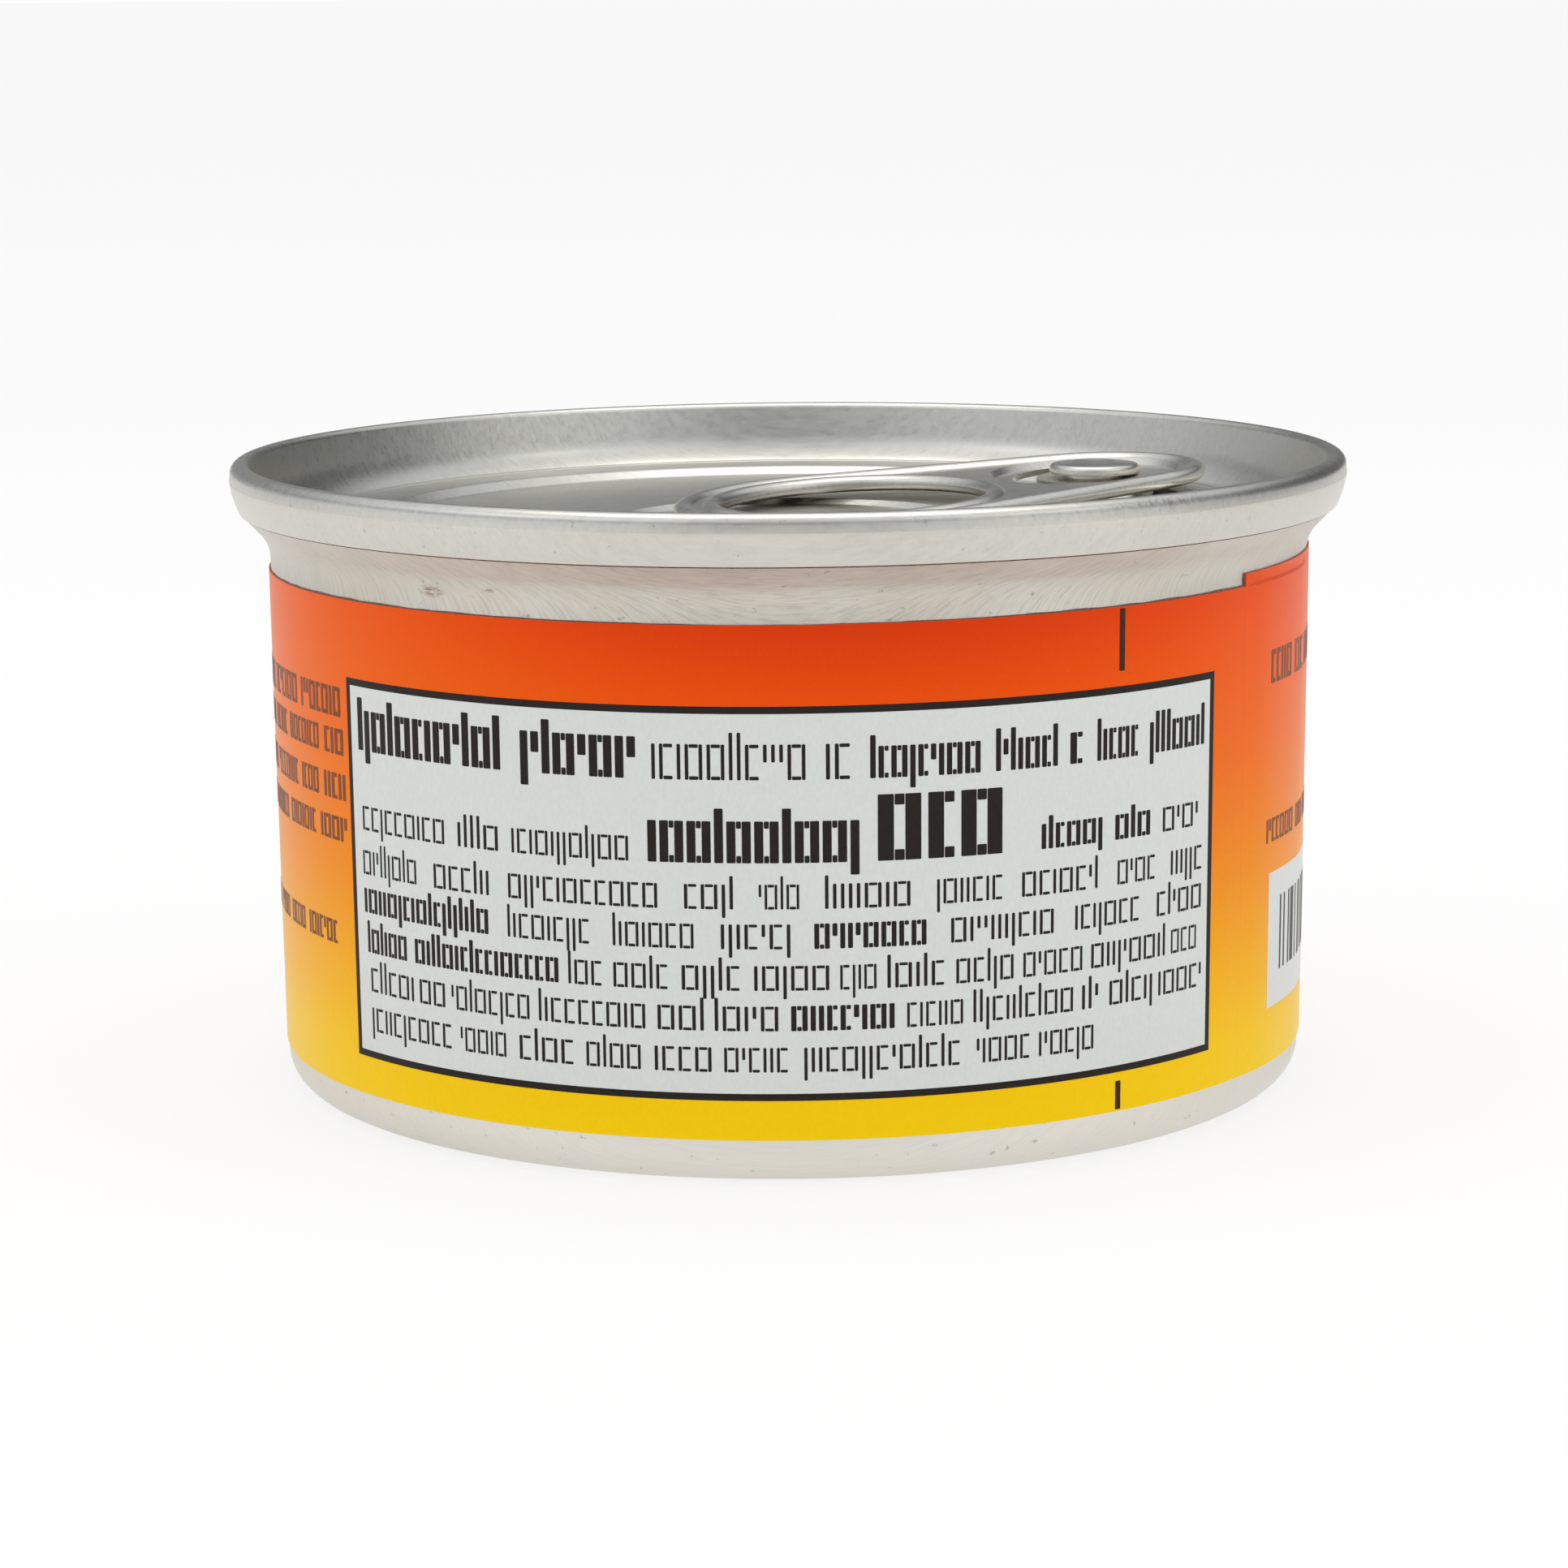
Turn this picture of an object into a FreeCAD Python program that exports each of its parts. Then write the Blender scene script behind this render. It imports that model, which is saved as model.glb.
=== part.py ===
import FreeCAD, Part
import math
import os
import re

import Sketcher

# A shut round can of potted meat, drawn from one sheet of aluminium, with an easy-open end.
# Millimetres, +Z up. The origin is the middle of the ring that the can stands on.
# -Y is the front, where the information panel of the label sits.
#
#   can_body   drawn cup with its filling, up to the headspace under the end
#   lid        easy-open end: double seam, chuck wall, countersink, scored panel and rivet
#   pull_tab   ring tab, held by the rivet
#   label      paper sleeve round the wall, with its lapped joint

SIZES = {
    # the whole can
    "can_height": (37.2, "stand ring to the crest of the seam"),
    "body_radius": (30.92, "wall, under the flare"),
    # drawn cup
    "wall_taper": (0.3, "how much narrower the wall is at the base"),
    "base_rounding": (1.9, "corner from the wall to the base"),
    "stand_width": (2.0, "flat ring that the can stands on"),
    "base_slope": (1.1, "run of the slope inside the stand ring"),
    "base_recess": (0.9, "height of the base above the stand ring"),
    "recess_rounding": (0.6, "bends of the base"),
    "flare_drop": (0.45, "from the countersink down to where the flare starts"),
    "flare_out": (1.55, "how far the flare reaches past the wall"),
    "flare_rounding": (2.4, "bend from the wall into the flare"),
    "flange_width": (0.33, "top of the flare, which the seam grips"),
    "cup_wall": (0.25, "thickness of the drawn wall"),
    # double seam
    "seam_overhang": (2.38, "crest side of the seam past the wall"),
    "seam_height": (2.9, "height of the seam"),
    "seam_width": (1.25, "thickness of the seam at its top"),
    "seam_lean": (0.55, "lower edge of the seam, inside its widest line"),
    "belly_lean": (0.16, "bowed middle of the seam, inside its widest line"),
    "belly_height": (1.25, "bowed middle above the seam's lower edge"),
    "belly_rounding": (4.0, "bow of the seam's outer side"),
    "seam_lip": (0.22, "rounding of the seam's lower edge"),
    "crest_outer": (0.75, "rounding of the crest, outside"),
    "crest_inner": (0.4, "rounding of the crest, inside"),
    "seam_gap": (0.05, "clearance between the end and the cup"),
    # end panel
    "sheet": (0.22, "thickness of the end's metal"),
    "chuck_upper_lean": (0.45, "narrowing of the chuck wall, beside the seam"),
    "chuck_rounding": (3.0, "bend of the chuck wall at the seam's lower edge"),
    "countersink_depth": (4.25, "crest to the bottom of the countersink"),
    "countersink_width": (1.15, "countersink, wall to wall"),
    "countersink_rounding": (0.42, "bends of the countersink"),
    "panel_depth": (3.45, "crest to the outer land of the panel"),
    "panel_rounding": (0.3, "bend from the countersink to the panel"),
    "score_inset": (1.15, "panel's edge to the score"),
    "score_half": (0.14, "half the width of the score"),
    "score_depth": (0.09, "depth of the score"),
    "land_width": (4.2, "outer land of the panel"),
    "step_run": (0.7, "run of the step inside the land"),
    "step_depth": (0.55, "drop of the step"),
    "step_rounding": (0.5, "bends of the step"),
    "headspace": (0.35, "free height between the filling and the countersink"),
    # rivet
    "boss_radius": (3.5, "raised boss that carries the tab"),
    "shank_radius": (1.7, "rivet's shank"),
    "head_radius": (2.8, "rivet's head"),
    "head_height": (0.7, "thickness of the rivet's head"),
    "head_rounding": (0.4, "edge of the rivet's head"),
    # ring tab, measured from the rivet
    "tab_angle": (28.0, "direction of the tab's nose, degrees from +X"),
    "tab_tilt": (2.6, "nose up, degrees"),
    "tab_lift": (0.95, "underside of the tab above the stepped panel"),
    "tab_play": (0.18, "clearance of the tab on its rivet"),
    "nose_gap": (0.9, "tip of the nose to the panel's edge"),
    "nose_reach": (6.8, "rivet to the tip of the nose"),
    "nose_radius": (7.4, "round of the nose"),
    "ring_reach": (17.1, "rivet to the middle of the ring"),
    "ring_radius": (10.9, "outside of the ring"),
    "hole_radius": (8.0, "finger hole"),
    "tab_thick": (1.0, "thickness over the curled edges"),
    "curl_width": (1.4, "curled edge round the nose"),
    "curl_rounding": (0.42, "edges of the curl"),
    "island_thick": (0.35, "flat tongue that the rivet holds"),
    "slot_inner": (3.6, "inside of the slot round the rivet"),
    "slot_width": (1.5, "width of that slot"),
    "slot_half_angle": (105.0, "half the arc of that slot, degrees"),
    # finger well under the ring
    "well_shift": (4.5, "middle of the ring to the middle of the well"),
    "well_inset": (0.4, "finger well, smaller than the ring by"),
    "well_depth": (0.36, "drop of the finger well"),
    "well_rounding": (0.3, "edge of the finger well"),
    # label
    "label_foot": (2.62, "bare wall below the label"),
    "label_head": (1.5, "bare wall between the label and the flare"),
    "label_thick": (0.09, "paper"),
    "label_gap": (0.02, "glue line"),
    "lap_angle": (56.0, "free edge of the lap, degrees from the front"),
    "lap_spread": (17.0, "width of the lap, degrees"),
    "lap_rise": (0.72, "how much higher the outer layer sits"),
}

# Radii and heights that several pieces share, as sums of the sizes above
SEAM_R = "body_radius + seam_overhang"
SEAM_Z = "can_height - seam_height"
CHUCK_TOP_R = SEAM_R + " - seam_width"
CHUCK_MID_R = CHUCK_TOP_R + " - chuck_upper_lean"
CHUCK_R = "body_radius - cup_wall - sheet - seam_gap"
PANEL_R = CHUCK_R + " - countersink_width"
LAND_R = PANEL_R + " - land_width"
RIVET_R = PANEL_R + " - nose_gap - nose_reach"
WELL_R = "ring_radius - well_inset"
COUNTERSINK_Z = "can_height - countersink_depth"
LAND_Z = "can_height - panel_depth"
PANEL_Z = LAND_Z + " - step_depth"
TAB_Z = PANEL_Z + " + tab_lift"
WALL_Z = COUNTERSINK_Z + " - flare_drop"
LABEL_Z = WALL_Z + " - label_head"
FILL_Z = COUNTERSINK_Z + " - sheet - headspace"
BASE_R = "body_radius - wall_taper"

doc = FreeCAD.newDocument("MeatCan")
sheet = doc.addObject("Spreadsheet::Sheet", "Sizes")
for row, (alias, (number, note)) in enumerate(SIZES.items(), start=1):
    sheet.set(f"A{row}", note)
    sheet.set(f"B{row}", str(number))
    sheet.setAlias(f"B{row}", alias)
doc.recompute()


def amount(words):
    """The value of a sum of sizes, such as "can_height - seam_height"."""
    total, sign = 0.0, 1
    for word in words.split():
        if word in ("+", "-"):
            sign = 1 if word == "+" else -1
        else:
            total += sign * float(sheet.get(word))
    return total


def bound(words):
    """The same sum as an expression on the sheet."""
    return re.sub(r"[a-z_]+", r"Sizes.\g<0>", words)


def newBody(label):
    body = doc.addObject("PartDesign::Body", label)
    body.Label = label
    return body


def newSketch(body, name, plane, height=None):
    """A sketch on one of the body's own planes, lifted along the plane's normal."""
    sketch = body.newObject("Sketcher::SketchObject", name)
    origin = next(f for f in body.Origin.OriginFeatures if f.Role == plane)
    sketch.AttachmentSupport = [(origin, "")]
    sketch.MapMode = "FlatFace"
    if height:
        sketch.setExpression("AttachmentOffset.Base.z", bound(height))
    return sketch


def placePoint(sketch, geometry, end, name, x, y):
    """Ties a point to the sheet; a coordinate of None lies on the axis."""
    if x is None:
        sketch.addConstraint(Sketcher.Constraint("PointOnObject", geometry, end, -2))
    else:
        index = sketch.addConstraint(Sketcher.Constraint("DistanceX", geometry, end, amount(x)))
        sketch.renameConstraint(index, name + "_x")
        sketch.setExpression(f"Constraints.{name}_x", bound(x))
    if y is None:
        sketch.addConstraint(Sketcher.Constraint("PointOnObject", geometry, end, -1))
    else:
        index = sketch.addConstraint(Sketcher.Constraint("DistanceY", geometry, end, amount(y)))
        sketch.renameConstraint(index, name + "_y")
        sketch.setExpression(f"Constraints.{name}_y", bound(y))


def cornerArc(before, corner, after, radius):
    """The arc that rounds a corner: its two tangent points and its middle."""
    back = (before - corner).normalize()
    ahead = (after - corner).normalize()
    half = back.getAngle(ahead) / 2
    middle = (back + ahead).normalize()
    centre = corner + middle * (radius / math.sin(half))
    run = radius / math.tan(half)
    return corner + back * run, centre - middle * radius, corner + ahead * run


def drawOutline(sketch, outline):
    """Closed outline from (x, y, rounding) rows, with every corner tied to the sheet."""
    corners = [FreeCAD.Vector(amount(x) if x else 0, amount(y) if y else 0, 0) for x, y, _ in outline]
    count = len(outline)
    arcs = {}
    for i, (x, y, rounding) in enumerate(outline):
        if rounding:
            before, after = corners[i - 1], corners[(i + 1) % count]
            arcs[i] = cornerArc(FreeCAD.Vector(before), corners[i], FreeCAD.Vector(after), amount(rounding))
    lines = []
    for i in range(count):
        j = (i + 1) % count
        start = arcs[i][2] if i in arcs else corners[i]
        end = arcs[j][0] if j in arcs else corners[j]
        lines.append(sketch.addGeometry(Part.LineSegment(start, end), False))
    for i, (x, y, rounding) in enumerate(outline):
        incoming, outgoing = lines[i - 1], lines[i]
        if i not in arcs:
            sketch.addConstraint(Sketcher.Constraint("Coincident", incoming, 2, outgoing, 1))
            placePoint(sketch, outgoing, 1, f"corner{i}", x, y)
            continue
        start, middle, end = arcs[i]
        arc = sketch.addGeometry(Part.Arc(start, middle, end), False)
        first = sketch.getPoint(arc, 1)
        enters, leaves = (1, 2) if first.distanceToPoint(start) < first.distanceToPoint(end) else (2, 1)
        sketch.addConstraint(Sketcher.Constraint("Tangent", incoming, 2, arc, enters))
        sketch.addConstraint(Sketcher.Constraint("Tangent", outgoing, 1, arc, leaves))
        index = sketch.addConstraint(Sketcher.Constraint("Radius", arc, amount(rounding)))
        sketch.renameConstraint(index, f"corner{i}_round")
        sketch.setExpression(f"Constraints.corner{i}_round", bound(rounding))
        point = sketch.addGeometry(Part.Point(corners[i]), True)
        sketch.addConstraint(Sketcher.Constraint("PointOnObject", point, 1, incoming))
        sketch.addConstraint(Sketcher.Constraint("PointOnObject", point, 1, outgoing))
        placePoint(sketch, point, 1, f"corner{i}", x, y)


def drawCircle(sketch, name, x, radius):
    """Circle on the sketch's X axis, centred at x."""
    centre = FreeCAD.Vector(amount(x) if x else 0, 0, 0)
    circle = sketch.addGeometry(Part.Circle(centre, FreeCAD.Vector(0, 0, 1), amount(radius)), False)
    index = sketch.addConstraint(Sketcher.Constraint("Radius", circle, amount(radius)))
    sketch.renameConstraint(index, name + "_radius")
    sketch.setExpression(f"Constraints.{name}_radius", bound(radius))
    placePoint(sketch, circle, 3, name, x, None)
    return circle


def turn(body, name, outline):
    """Solid of revolution about Z from an outline in (radius, height)."""
    sketch = newSketch(body, name + "_outline", "XZ_Plane")
    drawOutline(sketch, outline)
    feature = body.newObject("PartDesign::Revolution", name)
    feature.Profile = sketch
    feature.ReferenceAxis = (sketch, ["V_Axis"])
    feature.Angle = 360
    sketch.Visibility = False
    doc.recompute()
    return feature


def pad(body, name, sketch, length):
    feature = body.newObject("PartDesign::Pad", name)
    feature.Profile = sketch
    feature.setExpression("Length", bound(length))
    sketch.Visibility = False
    doc.recompute()
    return feature


def pocket(body, name, sketch, length):
    """Cuts downwards from the sketch, and checks that metal went away."""
    before = body.Shape.Volume
    feature = body.newObject("PartDesign::Pocket", name)
    feature.Profile = sketch
    feature.setExpression("Length", bound(length))
    sketch.Visibility = False
    doc.recompute()
    if body.Shape.Volume > before - 1e-3:
        raise RuntimeError(f"{name} cuts nothing")
    return feature


def roundEdges(body, name, radius, chosen):
    """Fillet on the edges of the tip that the test picks."""
    tip = body.Tip
    names = [f"Edge{i}" for i, edge in enumerate(tip.Shape.Edges, start=1) if chosen(edge)]
    if not names:
        raise RuntimeError(f"{name} finds no edge")
    feature = body.newObject("PartDesign::Fillet", name)
    feature.Base = (tip, names)
    feature.setExpression("Radius", bound(radius))
    doc.recompute()
    return feature


def near(a, b):
    return abs(a - b) < 1e-4


def flatEdgeAt(height):
    """Test for edges that lie level at a height."""
    return lambda edge: near(edge.BoundBox.ZMin, height) and near(edge.BoundBox.ZMax, height)


def makeCanBody():
    """Drawn cup, solid with its filling; the flare carries the end's seam."""
    body = newBody("can_body")
    recess_r = BASE_R + " - base_rounding - stand_width"
    turn(body, "cup", [
        (None, "base_recess", None),
        (recess_r + " - base_slope", "base_recess", "recess_rounding"),
        (recess_r, None, "recess_rounding"),
        (BASE_R, None, "base_rounding"),
        (BASE_R, "label_foot", None),
        ("body_radius", LABEL_Z, None),
        ("body_radius", WALL_Z, "flare_rounding"),
        ("body_radius + flare_out", SEAM_Z + " - seam_gap", None),
        ("body_radius + flare_out - flange_width", SEAM_Z + " - seam_gap", None),
        ("body_radius - cup_wall", WALL_Z, "flare_rounding + cup_wall"),
        ("body_radius - cup_wall", FILL_Z, None),
        (None, FILL_Z, None),
    ])
    return body


def makeLid():
    """Easy-open end, pressed from one sheet, with the double seam round it as one ring."""
    body = newBody("lid")
    body.setExpression("Placement", "placement(vector(0; 0; 0); rotation(Sizes.tab_angle; 0; 0))")
    score_r = PANEL_R + " - score_inset"
    turn(body, "end", [
        # top side, from the seam's lower edge over the crest to the middle
        (SEAM_R + " - seam_lean", SEAM_Z, "seam_lip"),
        (SEAM_R + " - belly_lean", SEAM_Z + " + belly_height", "belly_rounding"),
        (SEAM_R, "can_height", "crest_outer"),
        (CHUCK_TOP_R, "can_height", "crest_inner"),
        (CHUCK_MID_R, SEAM_Z, "chuck_rounding"),
        (CHUCK_R, COUNTERSINK_Z, "countersink_rounding"),
        (PANEL_R, COUNTERSINK_Z, "countersink_rounding"),
        (PANEL_R, LAND_Z, "panel_rounding"),
        (score_r + " + score_half", LAND_Z, None),
        (score_r, LAND_Z + " - score_depth", None),
        (score_r + " - score_half", LAND_Z, None),
        (LAND_R, LAND_Z, "step_rounding"),
        (LAND_R + " - step_run", PANEL_Z, "step_rounding"),
        (None, PANEL_Z, None),
        # underside, one sheet thickness lower, back to the seam
        (None, PANEL_Z + " - sheet", None),
        (LAND_R + " - step_run", PANEL_Z + " - sheet", "step_rounding"),
        (LAND_R, LAND_Z + " - sheet", "step_rounding"),
        (PANEL_R + " - sheet", LAND_Z + " - sheet", None),
        (PANEL_R + " - sheet", COUNTERSINK_Z + " - sheet", "countersink_rounding"),
        (CHUCK_R + " + sheet", COUNTERSINK_Z + " - sheet", "countersink_rounding + sheet"),
        (CHUCK_MID_R + " + sheet", SEAM_Z, None),
    ])
    # finger well: the sheet is pushed down, so metal is added below and cut above
    well_x = RIVET_R + " - ring_reach - well_shift"
    under = newSketch(body, "well_under", "XY_Plane", PANEL_Z + " - sheet - well_depth")
    drawCircle(under, "under", well_x, WELL_R + " + sheet")
    pad(body, "well_metal", under, "well_depth")
    over = newSketch(body, "well_over", "XY_Plane", PANEL_Z)
    drawCircle(over, "over", well_x, WELL_R)
    pocket(body, "well_hollow", over, "well_depth")
    roundEdges(body, "well_bend", "well_rounding", flatEdgeAt(amount(PANEL_Z + " - well_depth")))
    # rivet: boss, shank and head stand on the stepped panel
    boss = newSketch(body, "boss_circle", "XY_Plane", PANEL_Z + " - sheet")
    drawCircle(boss, "boss", RIVET_R, "boss_radius")
    pad(body, "boss", boss, "sheet + tab_lift - tab_play")
    shank = newSketch(body, "shank_circle", "XY_Plane", TAB_Z + " - tab_play")
    drawCircle(shank, "shank", RIVET_R, "shank_radius")
    pad(body, "shank", shank, "tab_play + island_thick + tab_play")
    head = newSketch(body, "head_circle", "XY_Plane", TAB_Z + " + island_thick + tab_play")
    drawCircle(head, "head", RIVET_R, "head_radius")
    pad(body, "head", head, "head_height")
    top = amount(TAB_Z + " + island_thick + tab_play + head_height")
    roundEdges(body, "head_edge", "head_rounding", flatEdgeAt(top))
    return body


def drawTabOutline(sketch):
    """Nose arc and ring arc, joined by two straight sides that touch both."""
    nose_x = amount("nose_reach - nose_radius")
    ring_x = -amount("ring_reach")
    nose_r, ring_r = amount("nose_radius"), amount("ring_radius")
    lean = math.asin((ring_r - nose_r) / (nose_x - ring_x))
    up = FreeCAD.Vector(math.sin(lean), math.cos(lean), 0)
    down = FreeCAD.Vector(up.x, -up.y, 0)
    nose, ring = FreeCAD.Vector(nose_x, 0, 0), FreeCAD.Vector(ring_x, 0, 0)
    tip = nose + FreeCAD.Vector(nose_r, 0, 0)
    back = ring - FreeCAD.Vector(ring_r, 0, 0)
    noseArc = sketch.addGeometry(Part.Arc(nose + down * nose_r, tip, nose + up * nose_r), False)
    topSide = sketch.addGeometry(Part.LineSegment(nose + up * nose_r, ring + up * ring_r), False)
    ringArc = sketch.addGeometry(Part.Arc(ring + up * ring_r, back, ring + down * ring_r), False)
    lowSide = sketch.addGeometry(Part.LineSegment(ring + down * ring_r, nose + down * nose_r), False)
    for first, first_end, second, second_end in (
        (noseArc, 2, topSide, 1),
        (topSide, 2, ringArc, 1),
        (ringArc, 2, lowSide, 1),
        (lowSide, 2, noseArc, 1),
    ):
        sketch.addConstraint(Sketcher.Constraint("Tangent", first, first_end, second, second_end))
    for name, arc, x, radius in (
        ("nose", noseArc, "nose_reach - nose_radius", "nose_radius"),
        ("ring", ringArc, "- ring_reach", "ring_radius"),
    ):
        index = sketch.addConstraint(Sketcher.Constraint("Radius", arc, amount(radius)))
        sketch.renameConstraint(index, name + "_radius")
        sketch.setExpression(f"Constraints.{name}_radius", bound(radius))
        placePoint(sketch, arc, 3, name, x, None)


def makePullTab():
    """Ring tab with curled edges, a finger hole and a slotted tongue under the rivet."""
    body = newBody("pull_tab")
    body.setExpression(
        "Placement",
        f"placement(vector(({bound(RIVET_R)}) * cos(Sizes.tab_angle); "
        f"({bound(RIVET_R)}) * sin(Sizes.tab_angle); {bound(TAB_Z)}); "
        "rotation(Sizes.tab_angle; -Sizes.tab_tilt; 0))",
    )
    outline = newSketch(body, "tab_outline", "XY_Plane")
    drawTabOutline(outline)
    pad(body, "blank", outline, "tab_thick")
    hole = newSketch(body, "hole_circle", "XY_Plane", "tab_thick")
    drawCircle(hole, "hole", "- ring_reach", "hole_radius")
    pocket(body, "finger_hole", hole, "tab_thick")
    roundEdges(
        body, "curls", "curl_rounding",
        lambda edge: near(edge.BoundBox.ZMin, edge.BoundBox.ZMax),
    )
    dish = newSketch(body, "dish_circle", "XY_Plane", "tab_thick")
    drawCircle(dish, "dish", "nose_reach - nose_radius", "nose_radius - curl_width")
    pocket(body, "tongue_dish", dish, "tab_thick - island_thick")
    eye = newSketch(body, "eye_circle", "XY_Plane", "island_thick")
    drawCircle(eye, "eye", None, "shank_radius + tab_play")
    pocket(body, "rivet_eye", eye, "island_thick")
    slot = newSketch(body, "slot_outline", "XY_Plane", "island_thick")
    drawSlot(slot)
    pocket(body, "tongue_slot", slot, "island_thick")
    return body


def drawSlot(sketch):
    """Part of a ring round the rivet, open towards the nose, that frees the tongue."""
    half = math.radians(amount("slot_half_angle"))
    inner, outer = amount("slot_inner"), amount("slot_inner + slot_width")

    def at(radius, angle):
        return FreeCAD.Vector(radius * math.cos(angle), radius * math.sin(angle), 0)

    first, last = math.pi - half, math.pi + half
    outerArc = sketch.addGeometry(Part.Arc(at(outer, first), at(outer, math.pi), at(outer, last)), False)
    innerArc = sketch.addGeometry(Part.Arc(at(inner, first), at(inner, math.pi), at(inner, last)), False)
    upper = sketch.addGeometry(Part.LineSegment(at(inner, first), at(outer, first)), False)
    lower = sketch.addGeometry(Part.LineSegment(at(outer, last), at(inner, last)), False)
    for first_part, first_end, second_part, second_end in (
        (upper, 1, innerArc, 1),
        (upper, 2, outerArc, 1),
        (lower, 1, outerArc, 2),
        (lower, 2, innerArc, 2),
    ):
        sketch.addConstraint(
            Sketcher.Constraint("Coincident", first_part, first_end, second_part, second_end)
        )
    for name, arc, radius in (
        ("inner", innerArc, "slot_inner"),
        ("outer", outerArc, "slot_inner + slot_width"),
    ):
        index = sketch.addConstraint(Sketcher.Constraint("Radius", arc, amount(radius)))
        sketch.renameConstraint(index, name + "_radius")
        sketch.setExpression(f"Constraints.{name}_radius", bound(radius))
        sketch.addConstraint(Sketcher.Constraint("Coincident", arc, 3, -1, 1))
    for name, line, start, turned in (
        ("upper", upper, math.pi - half, "180 deg - Sizes.slot_half_angle * 1 deg"),
        ("lower", lower, half, "Sizes.slot_half_angle * 1 deg"),
    ):
        sketch.addConstraint(Sketcher.Constraint("PointOnObject", -1, 1, line))
        index = sketch.addConstraint(Sketcher.Constraint("Angle", line, start))
        sketch.renameConstraint(index, name + "_turn")
        sketch.setExpression(f"Constraints.{name}_turn", turned)
    return sketch


def makeLabel():
    """Paper sleeve that follows the wall, with a second layer where its ends lap."""
    body = newBody("label")
    inner_low = BASE_R + " + label_gap"
    inner_high = "body_radius + label_gap"
    turn(body, "sleeve", [
        (inner_low, "label_foot", None),
        (inner_low + " + label_thick", "label_foot", None),
        (inner_high + " + label_thick", LABEL_Z, None),
        (inner_high, LABEL_Z, None),
    ])
    lap = newSketch(body, "lap_outline", "XZ_Plane")
    drawOutline(lap, [
        (inner_low + " + label_thick", "label_foot", None),
        (inner_low + " + label_thick + label_thick", "label_foot", None),
        (inner_high + " + label_thick + label_thick", LABEL_Z, None),
        (inner_high + " + label_thick + label_thick", LABEL_Z + " + lap_rise", None),
        (inner_high, LABEL_Z + " + lap_rise", None),
        (inner_high, LABEL_Z, None),
        (inner_high + " + label_thick", LABEL_Z, None),
    ])
    feature = body.newObject("PartDesign::Revolution", "lap")
    feature.Profile = lap
    feature.ReferenceAxis = (lap, ["V_Axis"])
    feature.setExpression("Angle", bound("lap_spread"))
    # the lap's free edge lies lap_angle from the front, and the sketch plane turns with the body
    body.setExpression(
        "Placement",
        "placement(vector(0; 0; 0); rotation(Sizes.lap_angle - 90; 0; 0))",
    )
    doc.recompute()
    return body


def main():
    bodies = [makeCanBody(), makeLid(), makePullTab(), makeLabel()]
    doc.recompute()
    for thing in doc.Objects:
        if {"Invalid", "Error"} & set(thing.State):
            raise RuntimeError(f"{thing.Label} failed: {thing.State}")
    os.makedirs("parts", exist_ok=True)
    for body in bodies:
        shape = body.Shape
        if shape.isNull() or not shape.isValid() or len(shape.Solids) != 1:
            raise RuntimeError(f"{body.Label} is not one valid solid")
        box = shape.BoundBox
        print(f"{body.Label}: {shape.Volume:.1f} mm3, {box.ZMin:.2f} to {box.ZMax:.2f} high")
        shape.exportStep(f"parts/{body.Label}.step")


main()
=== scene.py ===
import math
import random

import bpy
from mathutils import Matrix, Vector, noise


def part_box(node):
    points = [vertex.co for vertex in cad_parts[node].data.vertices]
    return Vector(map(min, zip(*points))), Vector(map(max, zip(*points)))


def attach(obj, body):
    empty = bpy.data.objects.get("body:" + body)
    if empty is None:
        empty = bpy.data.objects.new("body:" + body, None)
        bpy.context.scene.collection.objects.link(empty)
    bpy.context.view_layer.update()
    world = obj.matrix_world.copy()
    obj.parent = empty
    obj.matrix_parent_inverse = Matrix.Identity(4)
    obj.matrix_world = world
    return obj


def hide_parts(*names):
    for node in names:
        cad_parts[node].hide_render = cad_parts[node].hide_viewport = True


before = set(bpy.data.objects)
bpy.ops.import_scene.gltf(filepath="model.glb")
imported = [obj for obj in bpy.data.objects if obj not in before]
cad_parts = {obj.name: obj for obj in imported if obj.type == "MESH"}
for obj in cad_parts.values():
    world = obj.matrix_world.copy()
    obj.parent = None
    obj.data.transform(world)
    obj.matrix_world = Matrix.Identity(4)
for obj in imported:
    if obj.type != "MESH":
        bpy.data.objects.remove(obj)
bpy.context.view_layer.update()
mm = 0.001
dice = random.Random(31)

# sizes in millimetres, read from the solids where a box gives them
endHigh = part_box("lid")[1]
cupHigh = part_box("can_body")[1]
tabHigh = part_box("pull_tab")[1]
sleeveLow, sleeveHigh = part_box("label")
canTop = endHigh[2] / mm
seamRadius = endHigh[0] / mm + 0.08  # the bow of the seam takes this much off its corner
flareTip = cupHigh[2] / mm
wallRadius = 30.92
footRadius = 30.62
footBend = 1.9
wallTop = 31.0  # the wall widens up to here
meanRadius = 31  # of the wall, for the materials
printRadius = 31.06  # arcs of print are measured here
printThick = 0.012
weld = 0.002
lapRise = 0.72  # the outer end of the label stands this much higher
labelFoot = sleeveLow[2] / mm
labelHead = sleeveHigh[2] / mm - lapRise
seamFoot = canTop - 2.9
print("frame loaded, can", round(canTop, 2), "mm high, tab up to", round(tabHigh[2] / mm, 2))


def clearSelection():
    if bpy.context.object and bpy.context.object.mode == "EDIT":
        bpy.ops.object.mode_set(mode="OBJECT")
    bpy.ops.object.select_all(action="DESELECT")


def pickOnly(piece):
    clearSelection()
    piece.select_set(True)
    bpy.context.view_layer.objects.active = piece


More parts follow.
